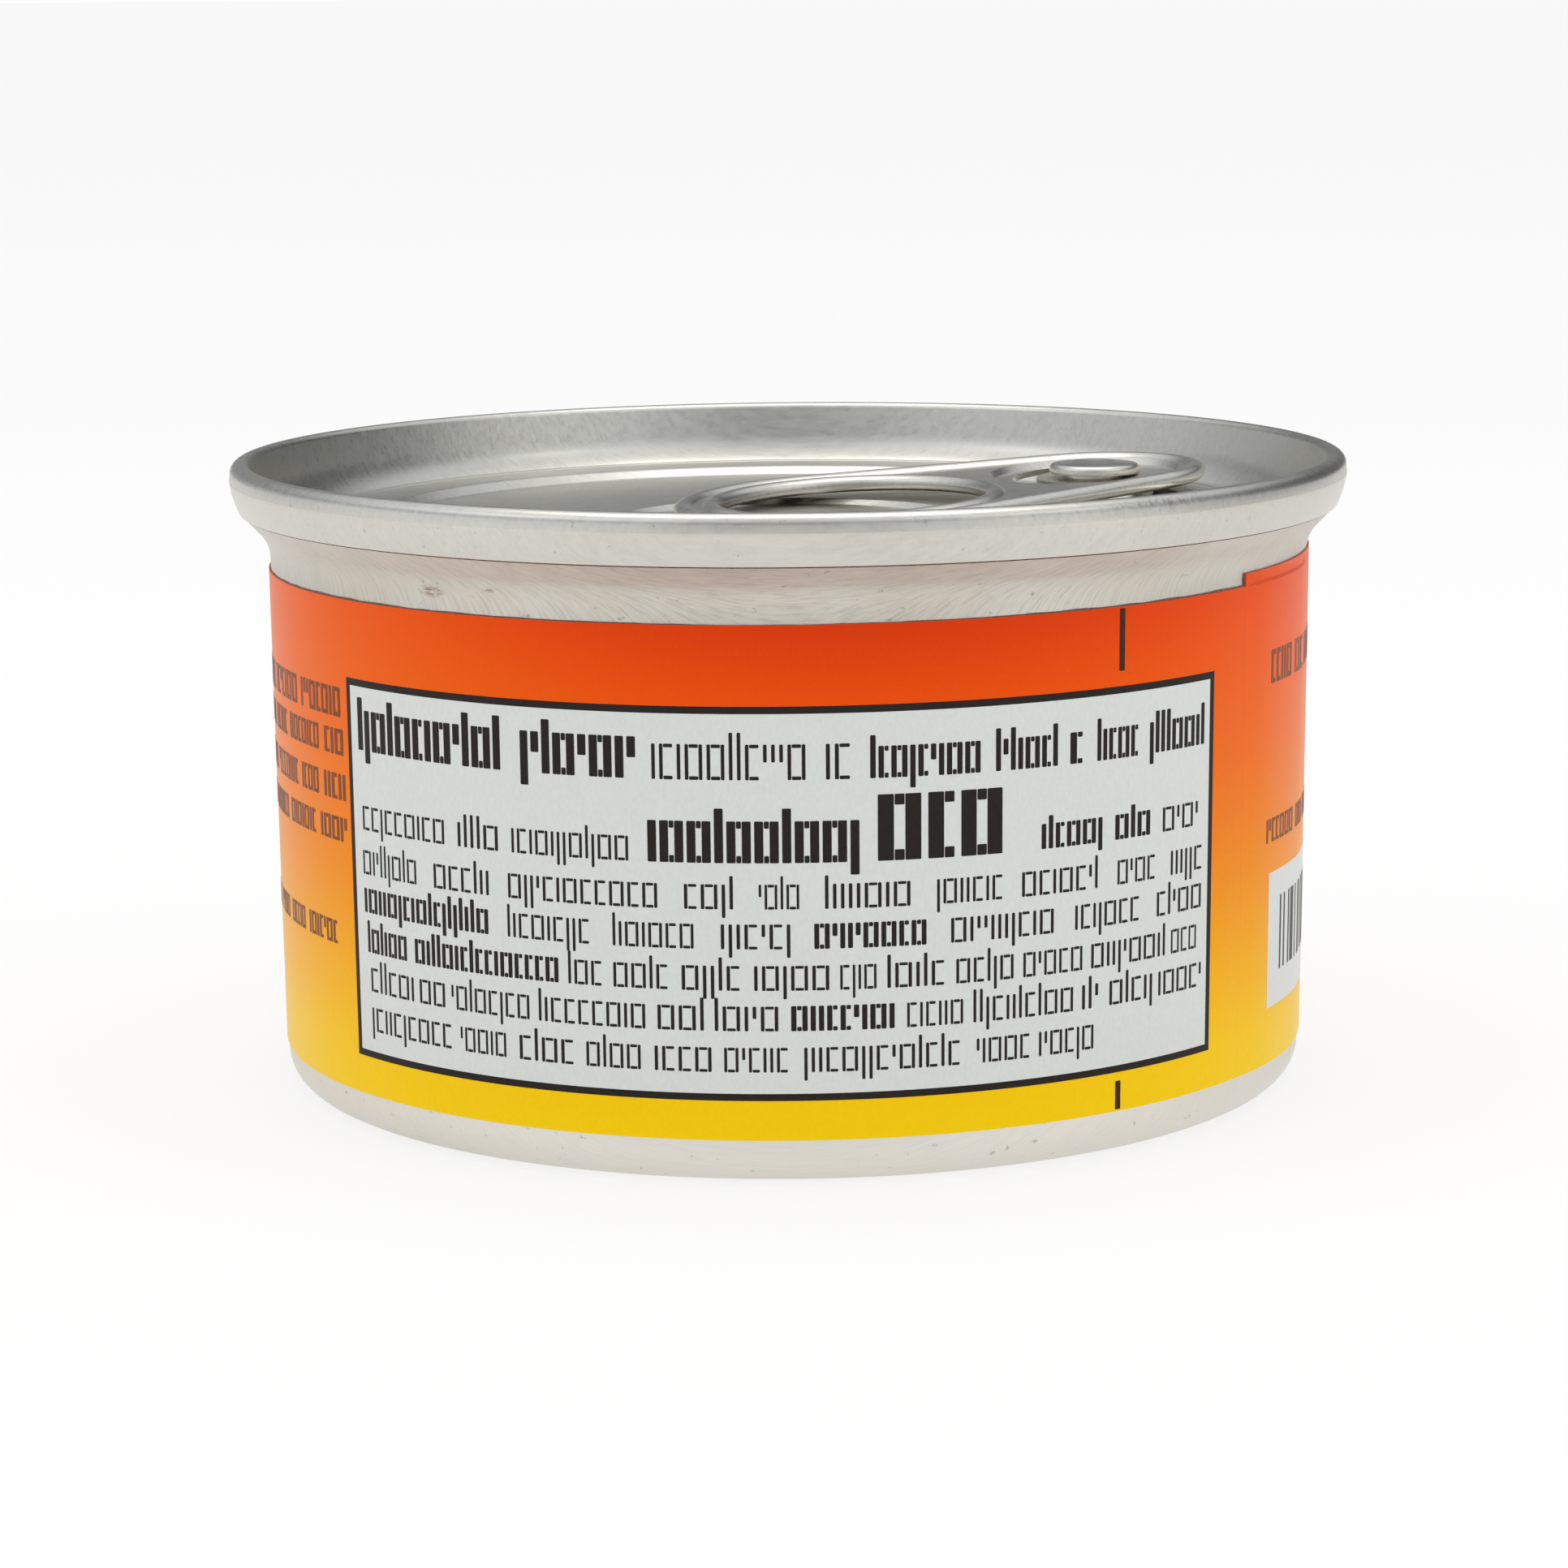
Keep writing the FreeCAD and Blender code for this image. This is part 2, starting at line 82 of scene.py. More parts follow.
def bendCorners(corners, fine=12):
    # corners are (radius, height, bend); a bend becomes an arc that touches both runs
    points = []
    for index, (r, z, bend) in enumerate(corners):
        here = Vector((r, z))
        if not bend:
            points.append(here)
            continue
        back = (Vector(corners[index - 1][:2]) - here).normalized()
        on = (Vector(corners[index + 1][:2]) - here).normalized()
        half = back.angle(on) / 2
        middle = here + (back + on).normalized() * (bend / math.sin(half))
        start, stop = here + back * (bend / math.tan(half)), here + on * (bend / math.tan(half))
        first, last = start - middle, stop - middle
        turn = first.angle_signed(last)
        count = max(2, round(math.degrees(abs(turn)) / fine))
        for step in range(count + 1):
            angle = -turn * step / count
            points.append(middle + Matrix.Rotation(angle, 2) @ first)
    return points


def takeActive(name):
    piece = bpy.context.object
    piece.name = piece.data.name = name
    return piece


def addGrid(name, columns, rows):
    clearSelection()
    bpy.ops.mesh.primitive_grid_add(x_subdivisions=columns, y_subdivisions=rows, size=1, location=(0, 0, 0))
    return takeActive(name)


def startPoint(name, place):
    # one loose vertex, ready to be drawn out into a line
    clearSelection()
    bpy.ops.mesh.primitive_plane_add(size=mm, location=(0, 0, 0))
    piece = takeActive(name)
    bpy.ops.object.mode_set(mode="EDIT")
    bpy.ops.mesh.select_mode(type="VERT")
    bpy.ops.mesh.select_all(action="SELECT")
    bpy.ops.mesh.merge(type="CENTER")
    bpy.ops.transform.translate(value=place)
    return piece


def drawThrough(points):
    # the loose vertex becomes a line through these places, (along x, height)
    for here, there in zip(points, points[1:]):
        step = ((there[0] - here[0]) * mm, 0, (there[1] - here[1]) * mm)
        bpy.ops.mesh.extrude_vertices_move(TRANSFORM_OT_translate={"value": step})


def spinAll(steps, turn=math.tau, middle=0.0):
    # sweeps the line about an upright axis at this place along x
    bpy.ops.mesh.select_all(action="SELECT")
    bpy.ops.mesh.spin(steps=steps, angle=turn, center=(middle * mm, 0, 0), axis=(0, 0, 1))
    bpy.ops.mesh.select_all(action="SELECT")
    bpy.ops.mesh.remove_doubles(threshold=weld * mm)


def faceOutward():
    bpy.ops.mesh.select_all(action="SELECT")
    bpy.ops.mesh.normals_make_consistent(inside=False)


def closeBelow():
    # a flat sheet becomes a closed solid, one unit thick until it is placed
    bpy.ops.object.mode_set(mode="EDIT")
    bpy.ops.mesh.select_all(action="SELECT")
    bpy.ops.mesh.extrude_region_move(TRANSFORM_OT_translate={"value": (0, 0, -1)})
    faceOutward()
    bpy.ops.object.mode_set(mode="OBJECT")


def lathe(name, corners, steps=256, fine=12):
    points = bendCorners(corners, fine)
    piece = startPoint(name, (points[0].x * mm, 0, points[0].y * mm))
    drawThrough(points)
    spinAll(steps)
    faceOutward()
    bpy.ops.object.mode_set(mode="OBJECT")
    return piece


def finishPiece(piece, material, angle=32, replaced=None):
    pickOnly(piece)
    bpy.ops.object.shade_smooth_by_angle(angle=math.radians(angle))
    piece.data.materials.clear()
    piece.data.materials.append(material)
    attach(piece, "root")
    if replaced:
        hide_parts(replaced)
    print("made", piece.name, len(piece.data.polygons), "faces")
    return piece


def newMaterial(name, metallic=0.0, roughness=0.5, colour=(0.8, 0.8, 0.8)):
    material = bpy.data.materials.new(name)
    material.use_nodes = True
    shader = material.node_tree.nodes["Principled BSDF"]
    shader.inputs["Metallic"].default_value = metallic
    shader.inputs["Roughness"].default_value = roughness
    shader.inputs["Base Color"].default_value = (*colour, 1)
    return material, shader


def addNode(material, kind, inputs=None, **settings):
    node = material.node_tree.nodes.new(kind)
    for key, value in settings.items():
        setattr(node, key, value)
    for key, value in (inputs or {}).items():
        if isinstance(value, bpy.types.NodeSocket):
            material.node_tree.links.new(value, node.inputs[key])
        else:
            node.inputs[key].default_value = value
    return node


def addRamp(material, source, stops):
    ramp = addNode(material, "ShaderNodeValToRGB", {"Fac": source})
    while len(ramp.color_ramp.elements) < len(stops):
        ramp.color_ramp.elements.new(0.5)
    for element, (place, colour) in zip(ramp.color_ramp.elements, stops):
        element.position = place
        element.color = (*colour, 1) if isinstance(colour, tuple) else (colour, colour, colour, 1)
    return ramp.outputs["Color"]


def addMath(material, operation, first, second=0.0, third=0.0):
    inputs = {0: first, 1: second, 2: third}
    return addNode(material, "ShaderNodeMath", inputs, operation=operation).outputs[0]


def addVector(material, operation, first, second=None):
    inputs = {0: first} if second is None else {0: first, 1: second}
    node = addNode(material, "ShaderNodeVectorMath", inputs, operation=operation)
    return node.outputs["Value" if operation == "LENGTH" else 0]


def addRange(material, value, low=0.0, high=1.0, first=0.0, last=1.0):
    # low to high becomes first to last, and what lies beyond is held
    inputs = {"Value": value, "From Min": low, "From Max": high, "To Min": first, "To Max": last}
    return addNode(material, "ShaderNodeMapRange", inputs).outputs[0]


def plug(material, source, shader, name):
    material.node_tree.links.new(source, shader.inputs[name])


def addNoise(material, vector, scale, detail=3.0, roughness=0.55):
    inputs = {"Vector": vector, "Scale": scale, "Detail": detail, "Roughness": roughness}
    return addNode(material, "ShaderNodeTexNoise", inputs).outputs["Fac"]


def addMapping(material, vector, scale=(1, 1, 1), rotation=(0, 0, 0), location=(0, 0, 0)):
    inputs = {"Vector": vector, "Scale": scale, "Rotation": rotation, "Location": location}
    return addNode(material, "ShaderNodeMapping", inputs).outputs[0]


def addBump(material, height, distance, strength=1.0, normal=None):
    inputs = {"Height": height, "Distance": distance * mm, "Strength": strength}
    if normal is not None:
        inputs["Normal"] = normal
    return addNode(material, "ShaderNodeBump", inputs).outputs["Normal"]


def mixColours(material, amount, first, second, blend="MIX"):
    node = addNode(material, "ShaderNodeMix", data_type="RGBA", blend_type=blend)
    for key, value in ((0, amount), (6, first), (7, second)):
        if isinstance(value, bpy.types.NodeSocket):
            material.node_tree.links.new(value, node.inputs[key])
        else:
            node.inputs[key].default_value = value if key == 0 else (*value, 1)
    return node.outputs[2]


def objectCoords(material):
    return addNode(material, "ShaderNodeTexCoord").outputs["Object"]


def toLinear(r, g, b):
    return tuple(((c / 255 + 0.055) / 1.055) ** 2.4 if c > 10 else c / 255 / 12.92 for c in (r, g, b))


metalLook = {
    "wallTone": (214, 210, 200), "wallWarm": (206, 199, 187), "wallStain": (142, 106, 90),
    # painted reflection: the foot tone paints the bottom of the wall brighter, as bright floor seen in the
    # metal would
    "footPaintedReflection": (226, 222, 213), "endTone": (212, 209, 200), "endDark": (209, 206, 198),
    "scratchTone": (90, 84, 78), "burrTone": (158, 154, 146),
    "wallRoughness": (0.34, 0.5), "endRoughness": (0.24, 0.38),
    "grainDepth": 0.012, "pitDepth": 0.02,
    # rubbed and stained places on the neck: middle in millimetres, reach in millimetres
    "stains": [((-19.7, -24.1, 32.1), (1.1, 1.1, 0.42)), ((-16.4, -26.5, 32.4), (0.5, 0.5, 0.16))],
    "scratches": [((22.3, -22.4, 32.34), (0.75, 0.75, 0.1))],
    "burr": ((20.4, -26.2, 36.85), (4.6, 4.6, 0.3)),
}


def addSpot(material, coords, middle, reach):
    # 1 inside a soft blob, 0 outside
    moved = addVector(material, "ADD", coords, tuple(-c * mm for c in middle))
    sized = addVector(material, "MULTIPLY", moved, tuple(1 / (c * mm) for c in reach))
    return addRange(material, addVector(material, "LENGTH", sized), 1.0, 0.35)


def addGrain(material, vector, along, across, turn):
    # drawn-out noise in two sizes, fine lines over broad ones
    narrow = addMapping(material, vector, (along, across, across * 0.3), (0, 0, turn))
    fine = addNoise(material, narrow, 1.0, 3.0, 0.7)
    size = (along * 0.5, across * 0.4, across * 0.12)
    wide = addMapping(material, vector, size, (0, 0, turn), (3.1, 1.7, 0))
    broad = addNoise(material, wide, 1.0, 2.0, 0.6)
    return addMath(material, "MULTIPLY_ADD", broad, 0.3, addMath(material, "MULTIPLY", fine, 0.7))


def makeWallMetal():
    material, shader = newMaterial("drawnWallMetal", 1.0)
    coords = objectCoords(material)
    parts = addNode(material, "ShaderNodeSeparateXYZ", {0: coords})
    # the rolling grain of the flat blank, carried up the wall as the cup was drawn
    square = addMath(material, "MULTIPLY_ADD", parts.outputs["Z"], 2 / (meanRadius * mm), 1.0)
    inputs = {0: coords, "Scale": addMath(material, "SQRT", square)}
    blank = addNode(material, "ShaderNodeVectorMath", inputs, operation="SCALE").outputs[0]
    flat = addVector(material, "MULTIPLY", blank, (1, 1, 0))
    grain = addGrain(material, flat, 420, 8600, math.radians(3))
    broad = addNoise(material, coords, 110.0, 3.0)
    speck = addNoise(material, addMapping(material, coords, (1, 1, 1.4)), 1500.0, 2.0)
    pits = addRamp(material, speck, [(0.24, 0.25), (0.31, 1.0)])
    tone = mixColours(material, addRamp(material, broad, [(0.35, 0.0), (0.7, 1.0)]),
                      toLinear(*metalLook["wallTone"]), toLinear(*metalLook["wallWarm"]))
    # painted reflection: from 24 mm down to 4 mm the wall is painted over into the brighter foot tone; the
    # same share also sets how strong the grain lines are
    footReflectionAndGrain = addRange(material, parts.outputs["Z"], 0.004, 0.024)
    tone = mixColours(material, footReflectionAndGrain, toLinear(*metalLook["footPaintedReflection"]), tone)
    depth = addMath(material, "MULTIPLY_ADD", footReflectionAndGrain, 0.55, 0.22)
    lines = addRamp(material, grain, [(0.38, 0.7), (0.5, 0.91), (0.6, 1.0)])
    streaked = mixColours(material, depth, tone, lines, "MULTIPLY")
    flecked = mixColours(material, 0.45, streaked, pits, "MULTIPLY")
    patch = addNoise(material, addMapping(material, coords, (1, 1, 3)), 2100.0, 3.0)
    for places, tint in (("stains", "wallStain"), ("scratches", "scratchTone")):
        for middle, size in metalLook[places]:
            spot = addSpot(material, coords, middle, size)
            patches = addRamp(material, patch, [(0.4, 0.0), (0.54, 0.8)])
            broken = addMath(material, "MULTIPLY", spot, patches)
            flecked = mixColours(material, broken, flecked, toLinear(*metalLook[tint]))
    plug(material, flecked, shader, "Base Color")
    rough = addRange(material, grain, 0.3, 0.7, *metalLook["wallRoughness"])
    plug(material, rough, shader, "Roughness")
    first = addBump(material, grain, metalLook["grainDepth"], 0.7)
    second = addBump(material, pits, metalLook["pitDepth"], 0.35, first)
    plug(material, second, shader, "Normal")
    return material


def makeEndMetal(name, turn):
    material, shader = newMaterial(name, 1.0)
    coords = objectCoords(material)
    grain = addGrain(material, coords, 500, 8200, math.radians(turn))
    fine = addNoise(material, addMapping(material, coords, (1, 1, 0.35)), 5200.0, 2.0)
    broad = addNoise(material, coords, 130.0, 3.0)
    speck = addNoise(material, coords, 2300.0, 2.0)
    away = addVector(material, "LENGTH", addVector(material, "MULTIPLY", coords, (1, 1, 0)))
    inside = addRange(material, away, 32.9 * mm, 32.2 * mm)  # the pits are on the seam's outer face
    level = addMath(material, "MULTIPLY_ADD", inside, 0.3, speck)
    pits = addRamp(material, level, [(0.23, 0.3), (0.31, 1.0)])
    tone = mixColours(material, addRamp(material, broad, [(0.38, 0.0), (0.72, 1.0)]),
                      toLinear(*metalLook["endTone"]), toLinear(*metalLook["endDark"]))
    lines = addRamp(material, grain, [(0.36, 0.8), (0.6, 1.0)])
    streaked = mixColours(material, 0.45, tone, lines, "MULTIPLY")
    flecked = mixColours(material, 0.4, streaked, pits, "MULTIPLY")
    spot = addSpot(material, coords, *metalLook["burr"])
    nicks = addRamp(material, addNoise(material, coords, 3600.0, 3.0), [(0.44, 0.0), (0.58, 0.7)])
    broken = addMath(material, "MULTIPLY", spot, nicks)
    flecked = mixColours(material, broken, flecked, toLinear(*metalLook["burrTone"]))
    plug(material, flecked, shader, "Base Color")
    rough = addRange(material, grain, 0.3, 0.7, *metalLook["endRoughness"])
    plug(material, rough, shader, "Roughness")
    first = addBump(material, grain, metalLook["grainDepth"] * 0.22, 0.6)
    second = addBump(material, pits, metalLook["pitDepth"], 0.3, first)
    third = addBump(material, fine, 0.002, 0.5, second)
    plug(material, third, shader, "Normal")
    return material


paperLook = {
    "stops": [  # share of the label's height, colour
        (0.0, (247, 205, 3)), (0.08, (246, 199, 2)), (0.19, (243, 180, 3)), (0.3, (240, 160, 4)),
        (0.4, (238, 141, 4)), (0.51, (237, 123, 3)), (0.61, (237, 107, 2)), (0.72, (236, 94, 1)),
        (0.82, (235, 82, 0)), (0.9, (228, 70, 0)), (1.0, (214, 56, 0)),
    ],
    "roughness": 0.42, "gloss": 0.07, "sheen": 0.26,
    "blank": (214, 217, 214), "ink": (42, 37, 34), "faint": (132, 72, 40), "tick": (72, 42, 22),
    # painted shade: the next two colours are the dark line along the paper's top edge and beside the lap's
    # free edge, and the darker line along the lap's bend
    "paintedEdgeShade": (136, 108, 92), "lapShadeLine": (206, 74, 30),
    # painted light: the top of the print is painted lighter towards the sides, as side light would make it,
    # by this much of the label's height
    "paintedSideLight": -0.26, "deepest": 4,
}


def addPaperGrain(material, shader, depth=0.006):
    coords = objectCoords(material)
    fibre = addNoise(material, addMapping(material, coords, scale=(1, 1, 0.6)), 5200.0, 3.0, 0.6)
    swell = addNoise(material, coords, 160.0, 2.0)
    first = addBump(material, swell, 0.05, 0.25)
    plug(material, addBump(material, fibre, depth, 0.6, first), shader, "Normal")
    shader.inputs["Specular IOR Level"].default_value = paperLook["gloss"]
    shader.inputs["Sheen Weight"].default_value = paperLook["sheen"]
    shader.inputs["Sheen Roughness"].default_value = 0.35
    low = paperLook["roughness"]
    plug(material, addRange(material, fibre, 0.0, 1.0, low - 0.06, low + 0.1), shader, "Roughness")
    return coords, fibre


def makeLabelPaper():
    material, shader = newMaterial("printedLabelPaper", 0.0)
    coords, fibre = addPaperGrain(material, shader)
    parts = addNode(material, "ShaderNodeSeparateXYZ", {0: coords})
    share = addRange(material, parts.outputs["Z"], labelFoot * mm, labelHead * mm)
    # painted light: away from this place along x the colour moves towards the lighter yellow end, most at
    # the top
    aside = addMath(material, "SUBTRACT", parts.outputs["X"], paperLook["deepest"] * mm)
    aside = addMath(material, "DIVIDE", aside, meanRadius * mm)
    aside = addMath(material, "MULTIPLY", aside, aside)
    lift = addMath(material, "MULTIPLY", addMath(material, "MULTIPLY", share, share), aside)
    share = addMath(material, "MULTIPLY_ADD", lift, paperLook["paintedSideLight"], share)
    blend = addRamp(material, share, [(place, toLinear(*tone)) for place, tone in paperLook["stops"]])
    mottle = addRamp(material, fibre, [(0.3, 0.6), (0.7, 1.0)])
    plug(material, mixColours(material, 0.1, blend, mottle, "MULTIPLY"), shader, "Base Color")
    return material


def makePrint(name, look, spread):
    material, shader = newMaterial(name, 0.0)
    fibre = addPaperGrain(material, shader, 0.003)[1]
    tone = toLinear(*paperLook[look])
    dark = tuple(c * (1 - spread) for c in tone)
    plug(material, addRamp(material, fibre, [(0.3, dark), (0.65, tone)]), shader, "Base Color")
    return material


wallMetal = makeWallMetal()
endMetal = makeEndMetal("pressedEndMetal", 62)
tabMetal = makeEndMetal("curledTabMetal", 28)
labelPaper = makeLabelPaper()
blankPrint = makePrint("panelWhite", "blank", 0.05)
inkPrint = makePrint("darkInk", "ink", 0.2)
faintPrint = makePrint("brownInk", "faint", 0.25)
tickPrint = makePrint("tickInk", "tick", 0.2)
# painted shade: the dark line at the paper's top edge and beside the lap's free edge
edgeShadePrint = makePrint("paintedEdgeShade", "paintedEdgeShade", 0.4)
# painted shade: a darker orange line along the paper's bend over the covered end
lapShadePrint = makePrint("paintedLapShade", "lapShadeLine", 0.3)
print("materials ready")


cup = {
    "recess": 0.9, "recessRadius": footRadius - footBend - 2.0, "slope": 1.1,
    "bead": 0.12, "beadRadius": 19.5, "wall": 0.25, "flareStart": 32.5, "flareOut": 1.64, "flange": 0.4,
    "fill": 32.38, "unevenness": 0.035,
}


def makeCup():
    c = cup
    tip = wallRadius + c["flareOut"]
    piece = lathe("drawnCup", [
        (0, c["recess"] + c["bead"], None),
        (c["beadRadius"] - 0.5, c["recess"] + c["bead"], 0.5),
        (c["beadRadius"], c["recess"], 0.5),
        (c["recessRadius"] - c["slope"], c["recess"], 0.6),
        (c["recessRadius"], 0, 0.6),
        (footRadius, 0, footBend),
        (footRadius, labelFoot, None),
        (footRadius + 0.1, 12.0, None),
        (wallRadius, wallTop, None),
        (wallRadius, c["flareStart"], 2.4),
        (tip, flareTip, None),
        (tip - c["flange"], flareTip, None),
        (wallRadius - c["wall"], c["flareStart"], 2.65),
        (wallRadius - c["wall"], c["fill"], None),
        (0, c["fill"], None),
    ])
    for vertex in piece.data.vertices:  # the thin wall is never quite true
        x, y, z = vertex.co / mm
        r = math.hypot(x, y)
        if r > 26 and 0.4 < z < 34.0:
            pull = noise.noise(Vector((x / 9, y / 9, z / 6))) * 0.5 + 0.5
            vertex.co.x -= x / r * pull * c["unevenness"] * mm
            vertex.co.y -= y / r * pull * c["unevenness"] * mm
    return finishPiece(piece, wallMetal, replaced="can_body")


makeCup()


end = {
    "sheet": 0.22, "seamWidth": 1.25, "lean": 0.6, "bellyLean": 0.12, "bellyHeight": 1.25,
    "crestLean": 0.165, "shoulder": 0.085, "shoulderHeight": 1.1,
    "chuckRadius": 30.40, "countersink": 4.25, "panelRadius": 29.25, "panelDepth": 3.45,
    "scoreRadius": 28.10, "scoreHalf": 0.14, "scoreDepth": 0.09,
    "landRadius": 25.05, "stepRun": 0.7, "stepDepth": 0.55,
    "wellRadius": 10.5, "wellDepth": 0.36,
}


def makeEnd():
    e = end
    chuckTop = seamRadius - e["seamWidth"]
    chuckMiddle = chuckTop - 0.45
    sinkHeight = canTop - e["countersink"]
    land = canTop - e["panelDepth"]
    panel = land - e["stepDepth"]
    inner = e["landRadius"] - e["stepRun"]
    s = e["sheet"]
    piece = lathe("easyOpenEnd", [
        (0, panel - e["wellDepth"], None),
        (e["wellRadius"] - 0.25, panel - e["wellDepth"], 0.3),
        (e["wellRadius"] + 0.25, panel, 0.3),
        (inner, panel, 0.5),
        (e["landRadius"], land, 0.5),
        (e["scoreRadius"] - e["scoreHalf"], land, None),
        (e["scoreRadius"], land - e["scoreDepth"], None),
        (e["scoreRadius"] + e["scoreHalf"], land, None),
        (e["panelRadius"], land, 0.3),
        (e["panelRadius"], sinkHeight, 0.42),
        (e["chuckRadius"], sinkHeight, 0.42),
        (chuckMiddle, seamFoot, 3.0),
        (chuckTop, canTop, 0.4),
        (seamRadius - e["crestLean"], canTop, 0.64),
        (seamRadius - e["shoulder"], canTop - e["shoulderHeight"], 1.2),
        (seamRadius - e["bellyLean"], seamFoot + e["bellyHeight"], 4.0),
        (seamRadius - e["lean"], seamFoot, 0.12),
        (chuckMiddle + s, seamFoot, None),
        (e["chuckRadius"] + s, sinkHeight - s, 0.64),
        (e["panelRadius"] - s, sinkHeight - s, 0.42),
        (e["panelRadius"] - s, land - s, None),
        (e["landRadius"], land - s, 0.5),
        (inner, panel - s, 0.5),
        (e["wellRadius"] + 0.4, panel - s, 0.3),
        (e["wellRadius"] - 0.1, panel - s - e["wellDepth"], 0.3),
        (0, panel - s - e["wellDepth"], None),
    ], fine=11)
    return finishPiece(piece, endMetal, replaced="lid")


makeEnd()

rivet = {
    "reach": 21.55, "turn": math.radians(28),  # from the middle of the can
    "boss": 3.5, "bossTop": 33.97, "head": 2.8, "headFoot": 34.68, "headTop": 35.38, "shank": 1.7,
}
rivetX = rivet["reach"] * math.cos(rivet["turn"]) * mm
rivetY = rivet["reach"] * math.sin(rivet["turn"]) * mm


def makeRivet():
    low = canTop - end["panelDepth"] - end["stepDepth"] - 0.05
    piece = lathe("rivet", [
        (0, low, None),
        (rivet["boss"] + 0.45, low, None),
        (rivet["boss"] + 0.05, rivet["bossTop"], 0.35),
        (rivet["shank"], rivet["bossTop"], None),
        (rivet["shank"], rivet["headFoot"], None),
        (rivet["head"], rivet["headFoot"], 0.12),
        (rivet["head"], rivet["headTop"] - 0.12, 0.34),
        (1.3, rivet["headTop"], 0.6),
        (0.9, rivet["headTop"] - 0.09, 0.5),
        (0, rivet["headTop"] - 0.1, None),
    ], steps=64)
    bpy.ops.object.mode_set(mode="EDIT")
    bpy.ops.mesh.select_all(action="SELECT")
    bpy.ops.transform.translate(value=(rivetX, rivetY, 0))
    bpy.ops.object.mode_set(mode="OBJECT")
    return finishPiece(piece, tabMetal)


makeRivet()


tab = {
    "nose": (-0.6, 7.4), "ring": (-17.1, 10.9), "hole": 8.0,  # middle along the tab, radius
    "curl": 1.24, "thick": 1.0, "web": 0.72, "underWeb": 0.22,
    "dish": 6.0, "island": 0.35, "slotInner": 3.6, "slotOuter": 5.1, "slotHalf": 105,
    "lift": 34.15, "tilt": 2.6, "blank": 0.02,  # the flat blank is this thick before its edges are rolled
}


def selectPoints(piece, test):
    # picks vertices in edit mode by their place
    bpy.ops.mesh.select_mode(type="VERT")
    bpy.ops.mesh.select_all(action="DESELECT")
    bpy.ops.object.mode_set(mode="OBJECT")
    for vertex in piece.data.vertices:
        vertex.select = test(vertex.co / mm)
    bpy.ops.object.mode_set(mode="EDIT")


